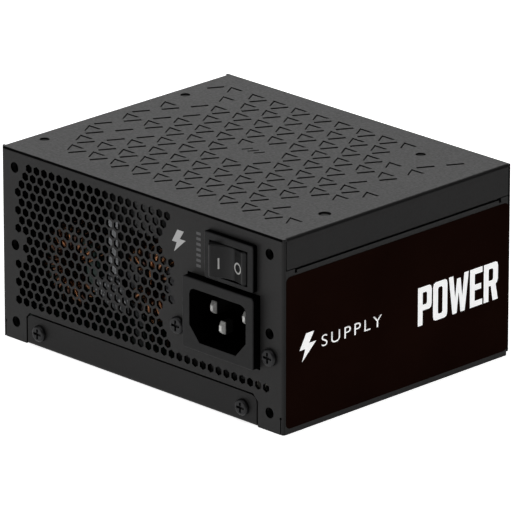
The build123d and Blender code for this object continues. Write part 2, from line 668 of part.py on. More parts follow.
def rocker_pieces():
    place = Pos(SWITCH_X, PIVOT_Y, SWITCH_Z) * Rot(0, 0, ROCKER_TILT)
    blank = rocker_blank()
    cutters = mark_cutters()
    marks = [place * (blank & cutter) for cutter in cutters]
    rocker = blank
    for cutter in cutters:
        rocker = rocker - cutter
    return place * rocker, marks


def switch_terminals():
    tabs = []
    for x in (SWITCH_X - TERMINAL_X, SWITCH_X + TERMINAL_X):
        for z in (SWITCH_Z - TERMINAL_Z, SWITCH_Z + TERMINAL_Z):
            tabs.append(block((x - 0.4, x + 0.4), (SWITCH_BACK, -31.0), (z - 2.3, z + 2.3)))
    return tabs


# ---------------------------------------------------------------- boards
def main_board():
    board = block((-BOARD_X, BOARD_X), BOARD_Y, BOARD_Z)
    for x, y in STANDOFFS:
        board = board - rod((x, y, 0), "z", 1.4, 12)
    return board


def standoff(x, y):
    return tube((x, y, SHEET), "z", 2.5, 1.22, BOARD_Z[0] - SHEET)


def insulation_sheet():
    sheet = block((-58.0, 58.0), (-44.0, 46.0), (SHEET, SHEET + 0.3))
    for x, y in STANDOFFS:
        sheet = sheet - rod((x, y, 0), "z", 2.9, 4)
    return sheet


def socket(pitch, count, x, z):
    """One cable socket: an open shroud with a floor and a latch ramp on top."""
    width = socket_width(pitch, count)
    shell = rounded(width, SOCKET_H, 0.6, (x, SOCKET_FRONT, z), SOCKET_FRONT - MODULAR_Y[1])
    half_x = width / 2 - SOCKET_WALL
    half_z = SOCKET_H / 2 - SOCKET_WALL
    hollow = block((x - half_x, x + half_x), (SOCKET_FLOOR, SOCKET_FRONT + 1), (z - half_z, z + half_z))
    top = z + SOCKET_H / 2
    side = [(50.3, top - 0.1), (50.3, top + 1.1), (52.3, top + 0.1), (52.3, top - 0.1)]
    ramp = prism([(x - 2, y, height) for y, height in side], (4, 0, 0))
    return shell - hollow + ramp


def socket_pins(pitch, count, x, z):
    pins = []
    for i in range(count):
        px = x + pitch * (i - (count - 1) / 2)
        for row in (-1, 1):
            pz = z + row * pitch / 2
            pins.append(block((px - 0.5, px + 0.5), (SOCKET_FLOOR, 47.0), (pz - 0.5, pz + 0.5)))
    return pins


# ---------------------------------------------------------------- components on the main board
def toroid(x, y, z, inner, outer, width):
    """A ring core that stands on its edge, its axis along Y."""
    return tube((x, y - width / 2, z), "y", outer, inner, width)


def toroid_winding(x, y, z, inner, outer, width, coat, start, sweep):
    """The wire around a ring core, over an arc of it."""
    mid, depth = (inner + outer) / 2, outer - inner
    shell = RectangleRounded(depth + 2 * coat, width + 2 * coat, coat * 0.9)
    with_hole = shell - Rectangle(depth, width)
    face = Plane(origin=(mid, 0, 0), x_dir=(1, 0, 0), z_dir=(0, -1, 0)) * with_hole
    ring = revolve(face, Axis.Z, sweep)
    return Pos(x, y, z) * Rot(-90, 0, 0) * Rot(0, 0, start) * ring


def bulk_capacitor():
    can = rod((-43.5, -19.5, 23.9), "y", 14.9, 44.5)
    ends = can.edges().group_by(Axis.Y)
    return fillet(ends[0] + ends[-1], 1.2)


def primary_heatsink():
    """An upright plate, a slotted flange over the bulk capacitor and a bracket at its rear end."""
    plate = block(SINK_X, (-42.0, 22.0), (9.2, SINK_TOP))
    plate = plate - block(SINK_X, (-43.0, -31.0), (9.0, 19.0))
    flange = block((-39.0, SINK_X[0] + 0.1), (-18.0, 22.0), (SINK_TOP - 2.2, SINK_TOP))
    for i in range(5):
        y = -12 + 7 * i
        flange = flange - block((-37.0, -27.0), (y - 1.2, y + 1.2), (40, 50))
    outline = [
        (-28.5, 22.0), (-28.5, 25.5), (-22.0, 28.5), (-17.0, 28.0),
        (-12.5, 23.0), (-12.5, 18.0), (-20.0, 18.0),
    ]
    bracket = prism([(x, -43.0, z) for x, z in outline], (0, 1.05, 0))
    return plate + flange + bracket


def power_transistors():
    bodies = []
    for y in (-6.6, 10.0):
        body = block(PACKAGE_X, (y - 7.8, y + 7.8), (13.0, 33.5))
        for leg in (-5.4, 0, 5.4):
            body = body + block((-25.0, -24.3), (y + leg - 0.6, y + leg + 0.6), (BOARD_Z[1], 13.05))
        bodies.append(body)
    return bodies


def bridge_rectifier():
    body = block((-26.0, SINK_X[0]), (-28.8, -15.6), (13.0, 33.0))
    for y in (-27.2, -24.0, -20.6, -17.2):
        body = body + block((-24.6, -23.8), (y - 0.5, y + 0.5), (BOARD_Z[1], 13.05))
    return body


def x_capacitors():
    first = block((8.4, 20.8), (-42.4, -33.6), (BOARD_Z[1], 23.0))
    second = block((23.4, 39.0), (-43.0, -34.6), (BOARD_Z[1], 17.6))
    return [fillet(body.edges().filter_by(Axis.Z), 0.8) for body in (first, second)]


def y_capacitors():
    discs = []
    for x in (9.0, 16.0):
        disc = rod((x, -27.0, 13.6), "x", 4.4, 3.0)
        for y in (-29.9, -24.1):
            disc = disc + block((x + 1.2, x + 1.8), (y - 0.3, y + 0.3), (BOARD_Z[1], 12.0))
        discs.append(disc)
    return discs


def fuse():
    body = rod((46.0, -43.0, 11.6), "y", 2.5, 18.0)
    for y in (-42.0, -27.0):
        body = body + block((44.6, 47.4), (y, y + 1.2), (BOARD_Z[1], 11.6))
    return body


def relay():
    body = block((41.0, 56.0), (-19.0, -9.0), (BOARD_Z[1], 24.0))
    return fillet(body.edges().filter_by(Axis.Z), 0.6)


def thermistor():
    disc = rod((26.0, -19.0, 15.2), "y", 5.0, 3.6)
    for x in (-3.0, 3.0):
        disc = disc + block((26 + x - 0.4, 26 + x + 0.4), (-17.6, -16.8), (BOARD_Z[1], 13))
    return disc


def transformer_core():
    core = block((-17.6, 16.4), (TRANSFORMER_Y - 7, TRANSFORMER_Y + 7), (10.6, 38.6))
    for x in ((-13.2, -5.9), (4.7, 12.0)):
        core = core - block(x, (TRANSFORMER_Y - 8, TRANSFORMER_Y + 8), (14.6, 34.6))
    return core


def transformer_winding():
    coil = rounded(24.6, 23.0, 3.0, (-0.6, TRANSFORMER_Y, 15.6), 18.0, "z")
    coil = coil - block((-5.9, 4.7), (TRANSFORMER_Y - 7, TRANSFORMER_Y + 7), (10, 40))
    return coil


def transformer_base():
    return block((-17.0, 15.8), (TRANSFORMER_Y - 12, TRANSFORMER_Y + 12), (BOARD_Z[1], 10.6))


def secondary_heatsink():
    sink = block((20.6, 22.8), (-12.0, 27.0), (9.2, 38.0))
    for i in range(6):
        y = -11.0 + 7.3 * i
        sink = sink + block((22.7, 25.0), (y, y + 1.2), (26.0, 38.0))
    return sink


def output_capacitors():
    cans = []
    for x in (29.6, 38.4, 47.2):
        for y in (14.0, 23.0, 32.0):
            can = rod((x, y, BOARD_Z[1]), "z", 4.0, 13.0)
            cans.append(fillet(can.edges().group_by(Axis.Z)[-1], 0.5))
    return cans


def standby_transformer():
    body = block((30.0, 44.0), (-7.0, 7.0), (BOARD_Z[1], 23.0))
    return fillet(body.edges().filter_by(Axis.Z), 1.0)


def upright_boards():
    """The converter board near the right side and the control board near the front."""
    converter = block((54.0, 55.6), (-2.0, 30.0), (BOARD_Z[1], 40.0))
    control = block((-30.0, -8.0), (30.6, 32.0), (BOARD_Z[1], 32.0))
    return converter, control


# ---------------------------------------------------------------- leads
def lead(points, radii, radius):
    """A round lead along straight runs and tangent arcs."""
    path = FilletPolyline(*points, radius=radii)
    start = path @ 0
    return sweep(Plane(origin=start, z_dir=path % 0) * Circle(radius), path)


def fan_connector(half_x, half_y, z):
    x = (FAN_HEADER_X - half_x, FAN_HEADER_X + half_x)
    y = (FAN_HEADER_Y - half_y, FAN_HEADER_Y + half_y)
    return block(x, y, z)


def main():
    os.makedirs("parts", exist_ok=True)
    save("case_wrap", case_wrap())
    save("top_cover", top_cover())
    save("bottom_cover", bottom_cover())
    save("side_label_right", side_label(1))
    save("side_label_left", side_label(-1))
    save("spec_label", block(LABEL_X, LABEL_Y, (0, LABEL_DEPTH)))
    save("tab_screws", *tab_screw_set())
    save("front_screws", *front_screw_set())
    save("inlet_screws", *inlet_screw_set())
    save("fan_screws", *fan_screw_set())
    save("board_screws", *board_screw_set())

    save("fan_frame", fan_frame())
    save("fan_rotor", fan_rotor())
    save("rotor_yoke", rotor_yoke())
    save("rotor_magnet", tube((FAN_X, FAN_Y, 51.2), "z", 15.5, 13.6, 7.0))
    save("fan_shaft", rod((FAN_X, FAN_Y, 48.4), "z", SHAFT_R, 12.2))
    save("fan_bearing", tube((FAN_X, FAN_Y, 48.6), "z", 3.5, SHAFT_R + 0.05, 9.0))
    save("fan_stator", fan_stator())
    save("fan_board", tube((FAN_X, FAN_Y, FAN_Z[0] + 2.0), "z", 12.6, 4.5, 0.7))

    save("inlet_body", inlet_body())
    save("inlet_pins", *[inlet_pin(*pin) for pin in PINS])
    save("switch_housing", switch_housing())
    rocker, marks = rocker_pieces()
    save("switch_rocker", rocker)
    save("rocker_marks", *marks)
    save("switch_terminals", *switch_terminals())

    save("main_board", main_board())
    save("board_standoffs", *[standoff(x, y) for x, y in STANDOFFS])
    save("insulation_sheet", insulation_sheet())
    save("modular_board", block((-57.0, 57.0), MODULAR_Y, (BOARD_Z[1], 46.4)))
    pins = []
    for node, (pitch, count, centres) in SOCKETS.items():
        save(node, *[socket(pitch, count, x, z) for x, z in centres])
        for x, z in centres:
            pins += socket_pins(pitch, count, x, z)
    save("contact_pins", *pins)

    for node, (x, y, z, inner, outer, width, coat, arcs) in CHOKES.items():
        save(node + "_core", toroid(x, y, z, inner, outer, width))
        turns = [toroid_winding(x, y, z, inner, outer, width, coat, *arc) for arc in arcs]
        save(node + "_winding", *turns)
    save("bulk_capacitor", bulk_capacitor())
    save("primary_heatsink", primary_heatsink())
    save("power_transistors", *power_transistors())
    save("bridge_rectifier", bridge_rectifier())
    save("x_capacitors", *x_capacitors())
    save("y_capacitors", *y_capacitors())
    save("fuse", fuse())
    save("relay", relay())
    save("thermistor", thermistor())
    save("transformer_core", transformer_core())
    save("transformer_winding", transformer_winding())
    save("transformer_base", transformer_base())
    save("secondary_heatsink", secondary_heatsink())
    save("output_capacitors", *output_capacitors())
    save("standby_transformer", standby_transformer())
    save("upright_boards", *upright_boards())

    save("mains_leads", *[lead(points, LEAD_BEND, 1.15) for points in MAINS_LEADS])
    save("earth_lead", lead(EARTH_LEAD, LEAD_BEND, 1.0))
    save("fan_lead", lead(FAN_LEAD, (1.8, 10.0), 1.0))
    save("fan_header", fan_connector(4.0, 2.5, (BOARD_Z[1], 14.0)))
    save("fan_plug", fan_connector(3.4, 2.1, (14.0, 20.0)))


main()
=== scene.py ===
"""The looks of a modular power supply unit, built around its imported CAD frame."""

import json
import math
import random

import bmesh
import bpy
from mathutils import Matrix, Vector


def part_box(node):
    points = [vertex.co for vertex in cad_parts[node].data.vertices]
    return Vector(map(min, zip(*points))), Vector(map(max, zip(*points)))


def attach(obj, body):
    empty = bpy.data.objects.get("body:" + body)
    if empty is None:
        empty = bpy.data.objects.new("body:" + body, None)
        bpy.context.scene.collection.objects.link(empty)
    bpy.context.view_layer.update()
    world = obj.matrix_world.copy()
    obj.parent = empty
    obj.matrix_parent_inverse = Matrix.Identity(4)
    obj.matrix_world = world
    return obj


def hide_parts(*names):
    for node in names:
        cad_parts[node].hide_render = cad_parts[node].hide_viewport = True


MM = 0.001
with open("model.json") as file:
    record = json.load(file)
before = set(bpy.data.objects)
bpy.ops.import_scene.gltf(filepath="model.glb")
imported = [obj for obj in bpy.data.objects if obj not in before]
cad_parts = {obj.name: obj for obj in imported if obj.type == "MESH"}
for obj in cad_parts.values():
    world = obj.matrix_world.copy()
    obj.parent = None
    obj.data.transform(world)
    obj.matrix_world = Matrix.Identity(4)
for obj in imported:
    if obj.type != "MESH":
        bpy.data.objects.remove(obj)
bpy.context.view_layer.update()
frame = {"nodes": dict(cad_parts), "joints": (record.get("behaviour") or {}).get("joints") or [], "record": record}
NODES = frame["nodes"]
JOINTS = {j["name"]: j for j in frame["joints"]}


def span(node):
    """A node's low and high corners in millimetres."""
    low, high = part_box(node)
    return low / MM, high / MM


# ------------------------------------------------------------------ node helpers
class Surface:
    """A principled material with short ways to drive its inputs."""

    def __init__(self, name, color, rough, metal=0.0, **sockets):
        self.material = bpy.data.materials.new(name)
        self.material.use_nodes = True
        self.tree = self.material.node_tree
        self.shader = self.tree.nodes["Principled BSDF"]
        self.coords = self.tree.nodes.new("ShaderNodeTexCoord").outputs["Object"]
        self.shader.inputs["Base Color"].default_value = (*color, 1)
        self.shader.inputs["Roughness"].default_value = rough
        self.shader.inputs["Metallic"].default_value = metal
        for socket, value in sockets.items():
            self.shader.inputs[socket.replace("_", " ")].default_value = value
        self.material.diffuse_color = (*color, 1)

    def node(self, kind, **settings):
        made = self.tree.nodes.new(kind)
        for key, value in settings.items():
            setattr(made, key, value)
        return made

    def link(self, out, socket):
        self.tree.links.new(out, socket)

    def stretched(self, scale):
        """Object coordinates stretched by a factor on each axis."""
        mapping = self.node("ShaderNodeMapping")
        mapping.inputs["Scale"].default_value = scale
        self.link(self.coords, mapping.inputs["Vector"])
        return mapping.outputs["Vector"]

    def noise(self, per_mm, detail=2.0, rough=0.5, vector=None):
        made = self.node("ShaderNodeTexNoise")
        made.inputs["Scale"].default_value = per_mm / MM
        made.inputs["Detail"].default_value = detail
        made.inputs["Roughness"].default_value = rough
        self.link(vector or self.coords, made.inputs["Vector"])
        return made.outputs["Fac"]

    def cells(self, per_mm, feature="F1"):
        made = self.node("ShaderNodeTexVoronoi", feature=feature)
        made.inputs["Scale"].default_value = per_mm / MM
        self.link(self.coords, made.inputs["Vector"])
        return made.outputs["Distance"]

    def wave(self, per_mm, axis="Z", distortion=0.0):
        made = self.node("ShaderNodeTexWave", bands_direction=axis)
        made.inputs["Scale"].default_value = per_mm / MM
        made.inputs["Distortion"].default_value = distortion
        self.link(self.coords, made.inputs["Vector"])
        return made.outputs["Fac"]

    def along(self, axis, start_mm, end_mm):
        """0 to 1 between two places on an axis of the object's own frame."""
        parts = self.node("ShaderNodeSeparateXYZ")
        self.link(self.coords, parts.inputs["Vector"])
        made = self.node("ShaderNodeMapRange")
        self.link(parts.outputs[axis], made.inputs["Value"])
        made.inputs["From Min"].default_value = start_mm * MM
        made.inputs["From Max"].default_value = end_mm * MM
        return made.outputs["Result"]

    def both(self, first, second):
        """The product of two masks."""
        made = self.node("ShaderNodeMath", operation="MULTIPLY")
        self.link(first, made.inputs[0])
        self.link(second, made.inputs[1])
        return made.outputs[0]

    def darker(self, value, factor):
        """Scales the colour and the sheen down by a factor where value is 1."""
        for socket in ("Base Color", "Specular IOR Level"):
            target = self.shader.inputs[socket]
            mix = self.node("ShaderNodeMix", data_type="RGBA", blend_type="MULTIPLY")
            self.link(value, mix.inputs[0])
            if target.links:
                self.link(target.links[0].from_socket, mix.inputs[6])
            else:
                mix.inputs[6].default_value = (target.default_value,) * 3 + (1,)
            mix.inputs[7].default_value = (factor,) * 3 + (1,)
            self.link(mix.outputs[2], target)

    def ramp(self, value, *stops):
        """A colour ramp. Each stop is (position, colour or grey)."""
        made = self.node("ShaderNodeValToRGB")
        elements = made.color_ramp.elements
        while len(elements) < len(stops):
            elements.new(0.5)
        for element, (position, color) in zip(elements, stops):
            element.position = position
            rgb = color if isinstance(color, tuple) else (color,) * 3
            element.color = (*rgb, 1)
        self.link(value, made.inputs["Fac"])
        return made.outputs["Color"]

    def color(self, value, *stops):
        self.link(self.ramp(value, *stops), self.shader.inputs["Base Color"])

    def rough(self, value, low, high):
        self.link(self.ramp(value, (0.3, low), (0.7, high)), self.shader.inputs["Roughness"])

    def bump(self, value, height_mm, strength=1.0):
        made = self.node("ShaderNodeBump")
        made.inputs["Strength"].default_value = strength
        made.inputs["Distance"].default_value = height_mm * MM
        self.link(value, made.inputs["Height"])
        normal = self.shader.inputs["Normal"]
        if normal.links:
            self.link(normal.links[0].from_socket, made.inputs["Normal"])
        self.link(made.outputs["Normal"], normal)


# ------------------------------------------------------------------ materials
def textured_coat(name, tone=1.0):
    """Fine black powder coat with a faint drift in tone."""
    s = Surface(name, (0.0125, 0.0125, 0.0128), 0.5, Specular_IOR_Level=0.16 * tone)
    low = tuple(c * tone for c in (0.0110, 0.0107, 0.0107))
    high = tuple(c * tone for c in (0.0145, 0.0141, 0.0141))
    s.color(s.noise(0.05, 5.0, 0.6), (0.3, low), (0.7, high))
    s.rough(s.noise(1.1, 3.0), 0.42, 0.54)
    s.bump(s.noise(2.6, 2.0), 0.05, 0.35)
    s.bump(s.noise(0.45, 1.0), 0.06, 0.12)
    return s


PAINTED_EDGE_SHADE = 0.06                 # how dark the painted shade on a cut edge is, beside its face
FLANK_X = 62.2                  # beyond it a face belongs to one of the case's side faces, which carry painted shade


def top_coat():
    """The top cover's coat, with painted shade along its rear and front cut edges and painted shade darkening its
    flanges.
    """
    s = textured_coat("powder_coat_top")
    # Painted shade: the rear and front cut edges are darkened.
    s.darker(s.along("Y", -49.9, -49.95), PAINTED_EDGE_SHADE)
    s.darker(s.along("Y", 49.7, 49.75), PAINTED_EDGE_SHADE)
    # Painted shade: the flanges are darker than the top.
    for side in (-1, 1):
        s.darker(s.along("X", side * FLANK_X, side * (FLANK_X + 0.2)), 0.66)
    return s.material


def bottom_coat():
    """The bottom cover's coat, darkened overall as painted shade, with painted shade along its left and right cut
    edges.
    """
    # The tone of 0.78 is painted shade: a darker copy of the same coat.
    s = textured_coat("powder_coat_bottom", 0.78)
    # Painted shade along the left and right cut edges.
    for side in (-1, 1):
        s.darker(s.along("X", side * FLANK_X, side * (FLANK_X + 0.05)), PAINTED_EDGE_SHADE)
    return s.material


def wrap_coat():
    """The folded case's coat. The punched walls in the rear sheet are darkened as painted shade, and its side
    faces are darker as painted shade.
    """
    s = textured_coat("powder_coat_wrap")
    # Painted shade on the walls of the holes and cut-outs through the rear sheet.
    sheet = s.both(s.along("Y", -49.97, -49.92), s.along("Y", -49.15, -49.2))
    flat = s.both(s.along("X", -61.4, -61.3), s.along("X", 61.4, 61.3))
    s.darker(s.both(sheet, flat), 0.12)
    # Painted shade: the side faces are darker than the rear.
    for side in (-1, 1):
        s.darker(s.along("X", side * FLANK_X, side * (FLANK_X + 0.2)), 0.75)
    return s.material


def moulded(name, base, rough, grain=3.0, face=None, sheen=0.5, side_shade=0.1):
    """Moulded plastic with a fine spark-eroded grain and a faint flow mark.

    Beyond face, a place on Y, the part's flanks are darkened as painted shade, by the factor given for them.
    """
    s = Surface(name, base, rough, Specular_IOR_Level=sheen)
    dark = tuple(c * 0.82 for c in base)
    s.color(s.noise(0.12, 4.0), (0.3, dark), (0.75, base))
    s.rough(s.noise(0.8, 2.0), rough - 0.06, rough + 0.08)
    s.bump(s.cells(grain), 0.02, 0.3)
    if face is not None:
        # Painted shade on the flanks behind the front face.
        s.darker(s.along("Y", face, face + 0.15), side_shade)
    return s.material


def rocker_plastic():
    """Glossier moulding, with painted shade on the flank between its valley and its raised end."""
    s = Surface("rocker_black", (0.0078, 0.0078, 0.0081), 0.36, Specular_IOR_Level=0.15)
    s.color(s.noise(0.12, 4.0), (0.3, (0.0064, 0.0064, 0.0066)), (0.75, (0.0078, 0.0078, 0.0081)))
    s.rough(s.noise(0.8, 2.0), 0.30, 0.44)
    s.bump(s.cells(5.0), 0.02, 0.3)
    # Painted shade on the flank between the valley and the raised end.
    s.darker(s.both(s.along("X", 42.2, 43.4), s.along("X", 46.9, 46.3)), 0.25)
    return s.material


def inlet_plating():
    """Plated pins, bright at the tip and darkened behind it as painted shade. The earth pin stands further out."""
    s = Surface("inlet_plating", (0.55, 0.545, 0.53), 0.45, 0.6)
    s.color(s.noise(0.6, 3.0), (0.3, (0.47, 0.47, 0.455)), (0.7, (0.55, 0.545, 0.53)))
    s.rough(s.noise(1.4, 3.0), 0.40, 0.57)
    s.bump(s.noise(3.0, 2.0), 0.008, 0.2)
    # Painted shade on the shanks behind the tips, deep in the inlet.
    s.darker(s.along("Y", -47.2, -46.8), 0.03)
    s.darker(s.both(s.along("Y", -50.3, -49.9), s.along("Z", 30.67, 30.63)), 0.03)
    return s.material


def label_film():
    s = Surface("label_film", (0.0080, 0.003, 0.0022), 0.7, Specular_IOR_Level=0.0)
    s.color(s.noise(0.03, 4.0), (0.35, (0.0066, 0.0024, 0.0016)), (0.7, (0.0090, 0.0034, 0.0023)))
    s.rough(s.noise(0.5, 3.0), 0.6, 0.75)
    s.bump(s.noise(0.08, 2.0), 0.03, 0.1)
    return s.material


def ink(name, base, rough=0.5, painted_glow=0.0):
    """Opaque printing ink. Any emission is painted light, making a pure white brighter than its lighting gives."""
    s = Surface(name, base, rough, Emission_Strength=painted_glow)
    s.color(s.noise(1.5, 3.0), (0.3, tuple(c * 0.93 for c in base)), (0.7, base))
    s.bump(s.noise(6.0, 2.0), 0.01, 0.2)
    return s.material


def brushed(name, base, rough=0.3, stretch=(1, 40, 1), metal=1.0):
    s = Surface(name, base, rough, metal)
    lines = s.noise(0.7, 4.0, 0.6, s.stretched(stretch))
    s.color(lines, (0.3, tuple(c * 0.8 for c in base)), (0.7, base))
    s.rough(lines, rough - 0.08, rough + 0.12)
    s.bump(lines, 0.01, 0.25)
    return s.material


def glint_flecked_metal(name, base, face):
    """Brushed metal whose rearmost face, up to a place on Y, is darkened as painted shade and dotted with bright
    spots of painted glint.
    """
    s = Surface(name, base, 0.4, 1.0)
    # Painted glints: bright spots on a face darkened as painted shade.
    painted_glints = s.ramp(s.cells(0.9, "SMOOTH_F1"), (0.2, 1.0), (0.4, 0.25))
    plain = s.ramp(s.noise(0.7, 4.0, 0.6, s.stretched((1, 1, 30))), (0.3, 0.85), (0.7, 1.0))
    pick = s.node("ShaderNodeMix", data_type="RGBA")
    s.link(s.along("Y", face, face + 0.1), pick.inputs[0])
    s.link(painted_glints, pick.inputs[6])
    s.link(plain, pick.inputs[7])
    tint = s.node("ShaderNodeMix", data_type="RGBA", blend_type="MULTIPLY")
    tint.inputs[0].default_value = 1.0
    s.link(pick.outputs[2], tint.inputs[6])
    tint.inputs[7].default_value = (*base, 1)
    s.link(tint.outputs[2], s.shader.inputs["Base Color"])
    s.bump(s.noise(0.8, 3.0), 0.3, 0.5)
    return s.material


def plated(name, base, rough=0.18, metal=1.0):
    s = Surface(name, base, rough, metal)
    s.color(s.noise(0.6, 3.0), (0.3, tuple(c * 0.86 for c in base)), (0.7, base))
    s.rough(s.noise(1.4, 3.0), rough - 0.05, rough + 0.12)
    s.bump(s.noise(3.0, 2.0), 0.008, 0.2)
    return s.material


def enamelled_copper():
    s = Surface("copper_winding", (0.18, 0.07, 0.03), 0.2, 0.9, Coat_Weight=0.5, Coat_Roughness=0.08)
    s.color(s.noise(0.22, 3.0), (0.42, (0.05, 0.017, 0.007)), (0.6, (0.40, 0.17, 0.07)))
    s.rough(s.noise(1.2, 2.0), 0.14, 0.28)
    return s.material


def solder_mask(name, base, copper):
    """Board lacquer over copper tracks, which stand a little proud and paler."""
    s = Surface(name, base, 0.35, Coat_Weight=0.4, Coat_Roughness=0.2)
    brick = s.node("ShaderNodeTexBrick")
    brick.inputs["Scale"].default_value = 0.16 / MM
    brick.inputs["Mortar Size"].default_value = 0.07
    brick.inputs["Mortar Smooth"].default_value = 0.1
    s.link(s.coords, brick.inputs["Vector"])
    tracks = brick.outputs["Fac"]
    s.color(tracks, (0.3, base), (0.7, copper))
    s.bump(tracks, 0.04, 0.5)
    s.bump(s.noise(2.0, 2.0), 0.01, 0.3)
    return s.material


def clear_film():
    s = Surface("insulation_film", (0.75, 0.75, 0.70), 0.3, Transmission_Weight=0.4, IOR=1.5)
    s.rough(s.noise(0.3, 2.0), 0.22, 0.38)
    s.bump(s.noise(0.2, 2.0), 0.05, 0.2)
    return s.material


def sintered(name, base, rough=0.7):
    s = Surface(name, base, rough)
    s.color(s.noise(2.0, 4.0), (0.3, tuple(c * 0.75 for c in base)), (0.7, base))
    s.rough(s.noise(1.0, 2.0), rough - 0.1, rough + 0.1)
    s.bump(s.noise(2.2, 3.0), 0.03, 0.5)
    return s.material


def wrapped_tape(name, base):
    s = Surface(name, base, 0.35, Coat_Weight=0.5, Coat_Roughness=0.15)
    bands = s.wave(0.055, "Z", 0.4)
    s.color(bands, (0.1, tuple(c * 0.72 for c in base)), (0.35, base))
    s.bump(bands, 0.05, 0.3)
    return s.material


def striped_lead():
    """Green insulation with a yellow stripe, for the earth lead."""
    s = Surface("earth_cover", (0.12, 0.35, 0.05), 0.4)
    s.color(s.wave(0.16, "X", 0.6), (0.45, (0.05, 0.26, 0.04)), (0.55, (0.70, 0.62, 0.05)))
    s.bump(s.noise(1.0, 2.0), 0.02, 0.2)
    return s.material


def floor_paper():
    s = Surface("floor_paper", (0.9, 0.9, 0.9), 0.8, Emission_Color=(1, 1, 1, 1), Emission_Strength=0.8)
    s.color(s.noise(0.004, 3.0), (0.3, 0.885), (0.7, 0.9))
    s.bump(s.noise(0.5, 2.0), 0.01, 0.05)
    return s.material


FINISH = {
    "label_film": label_film(),
    "screw_black": brushed("screw_black", (0.014, 0.014, 0.015), 0.4, (1, 1, 1), 0.7),
    "moulded_black": moulded("moulded_black", (0.011, 0.011, 0.0115), 0.42, sheen=0.2),
    "rocker_black": rocker_plastic(),
    "mark_white": ink("mark_white", (0.34, 0.34, 0.33), 0.4),
    "pin_nickel": plated("pin_nickel", (0.55, 0.545, 0.53), 0.45, 0.6),
    "contact_brass": plated("contact_brass", (0.80, 0.66, 0.34), 0.24),
    "board_laminate": solder_mask("board_laminate", (0.003, 0.012, 0.007), (0.006, 0.024, 0.013)),
    "insulation_film": clear_film(),
    "ferrite": sintered("ferrite", (0.055, 0.055, 0.06), 0.6),
    "choke_core": sintered("choke_core", (0.02, 0.05, 0.04), 0.5),
    "copper_winding": enamelled_copper(),
    "heatsink": brushed("heatsink", (0.30, 0.305, 0.315), 0.4, (1, 1, 30)),
    "capacitor_sleeve": moulded("capacitor_sleeve", (0.018, 0.020, 0.030), 0.3, 1.0),
    "component_black": moulded("component_black", (0.03, 0.03, 0.03), 0.5, 4.0),
    "disc_blue": sintered("disc_blue", (0.04, 0.16, 0.42), 0.35),
    "fuse_ceramic": sintered("fuse_ceramic", (0.74, 0.71, 0.64), 0.45),
    "tape_yellow": wrapped_tape("tape_yellow", (0.30, 0.21, 0.03)),
    "steel": brushed("steel", (0.58, 0.58, 0.60), 0.28, (1, 1, 20)),
    "bronze": sintered("bronze", (0.42, 0.27, 0.12), 0.4),
    "lead_cover": moulded("lead_cover", (0.025, 0.025, 0.026), 0.4, 2.0),
    "earth_cover": striped_lead(),
    "plug_white": moulded("plug_white", (0.72, 0.70, 0.64), 0.4, 2.0),
}
# The white print's emission of 0.22 is painted light.
PRINT_WHITE = ink("print_white", (0.97, 0.97, 0.97), painted_glow=0.22)
PRINT_PALE = ink("print_pale", (0.42, 0.42, 0.42))
PRINT_GREY = ink("print_grey", (0.046, 0.046, 0.048))
SOLDER = plated("solder", (0.66, 0.67, 0.68), 0.3)
PART_TAN = moulded("part_tan", (0.34, 0.22, 0.12), 0.4, 6.0)
MARK_RED = ink("mark_red", (0.45, 0.02, 0.02))
# Nodes whose finish differs from that of their slot
NODE_FINISH = {
    # The primary heatsink's rear face carries painted shade and painted glints.
    "primary_heatsink": glint_flecked_metal("heatsink_primary", (0.30, 0.305, 0.315), -42.3),
    "top_cover": top_coat(),
    "bottom_cover": bottom_coat(),
    "fan_screws": moulded("screw_end", (0.004, 0.004, 0.004), 0.5, sheen=0.1),
    # The inlet, bezel and fan frame carry painted shade on their flanks behind the given face.
    "inlet_body": moulded("moulded_inlet", (0.0085, 0.0085, 0.0088), 0.42, sheen=0.13, face=-52.65),
    "inlet_pins": inlet_plating(),
    "switch_housing": moulded("moulded_bezel", (0.0072, 0.0072, 0.0076), 0.42, sheen=0.13, face=-51.65),
    "case_wrap": wrap_coat(),
    "fan_frame": moulded("moulded_fan", (0.05, 0.05, 0.05), 0.5, face=-44.8, sheen=0.4, side_shade=0.22),
}


def dress_nodes():
    """Gives every CAD node the finish of its material slot."""
    for part in frame["record"]["subparts"]:
        node = part["node"]
        mesh = NODES[node].data
        mesh.materials.clear()
        mesh.materials.append(NODE_FINISH.get(node) or FINISH[part["material_slot"]])


def soften(node, width_mm, segments):
    """Breaks a node's sharp edges so that they catch the light."""
    piece = NODES[node]
    weld = piece.modifiers.new("weld", "WELD")
    weld.merge_threshold = 0.002 * MM
    bevel = piece.modifiers.new("edges", "BEVEL")
    bevel.width = width_mm * MM
    bevel.segments = segments
    bevel.limit_method = "ANGLE"
    bevel.angle_limit = math.radians(40)
    bevel.harden_normals = False


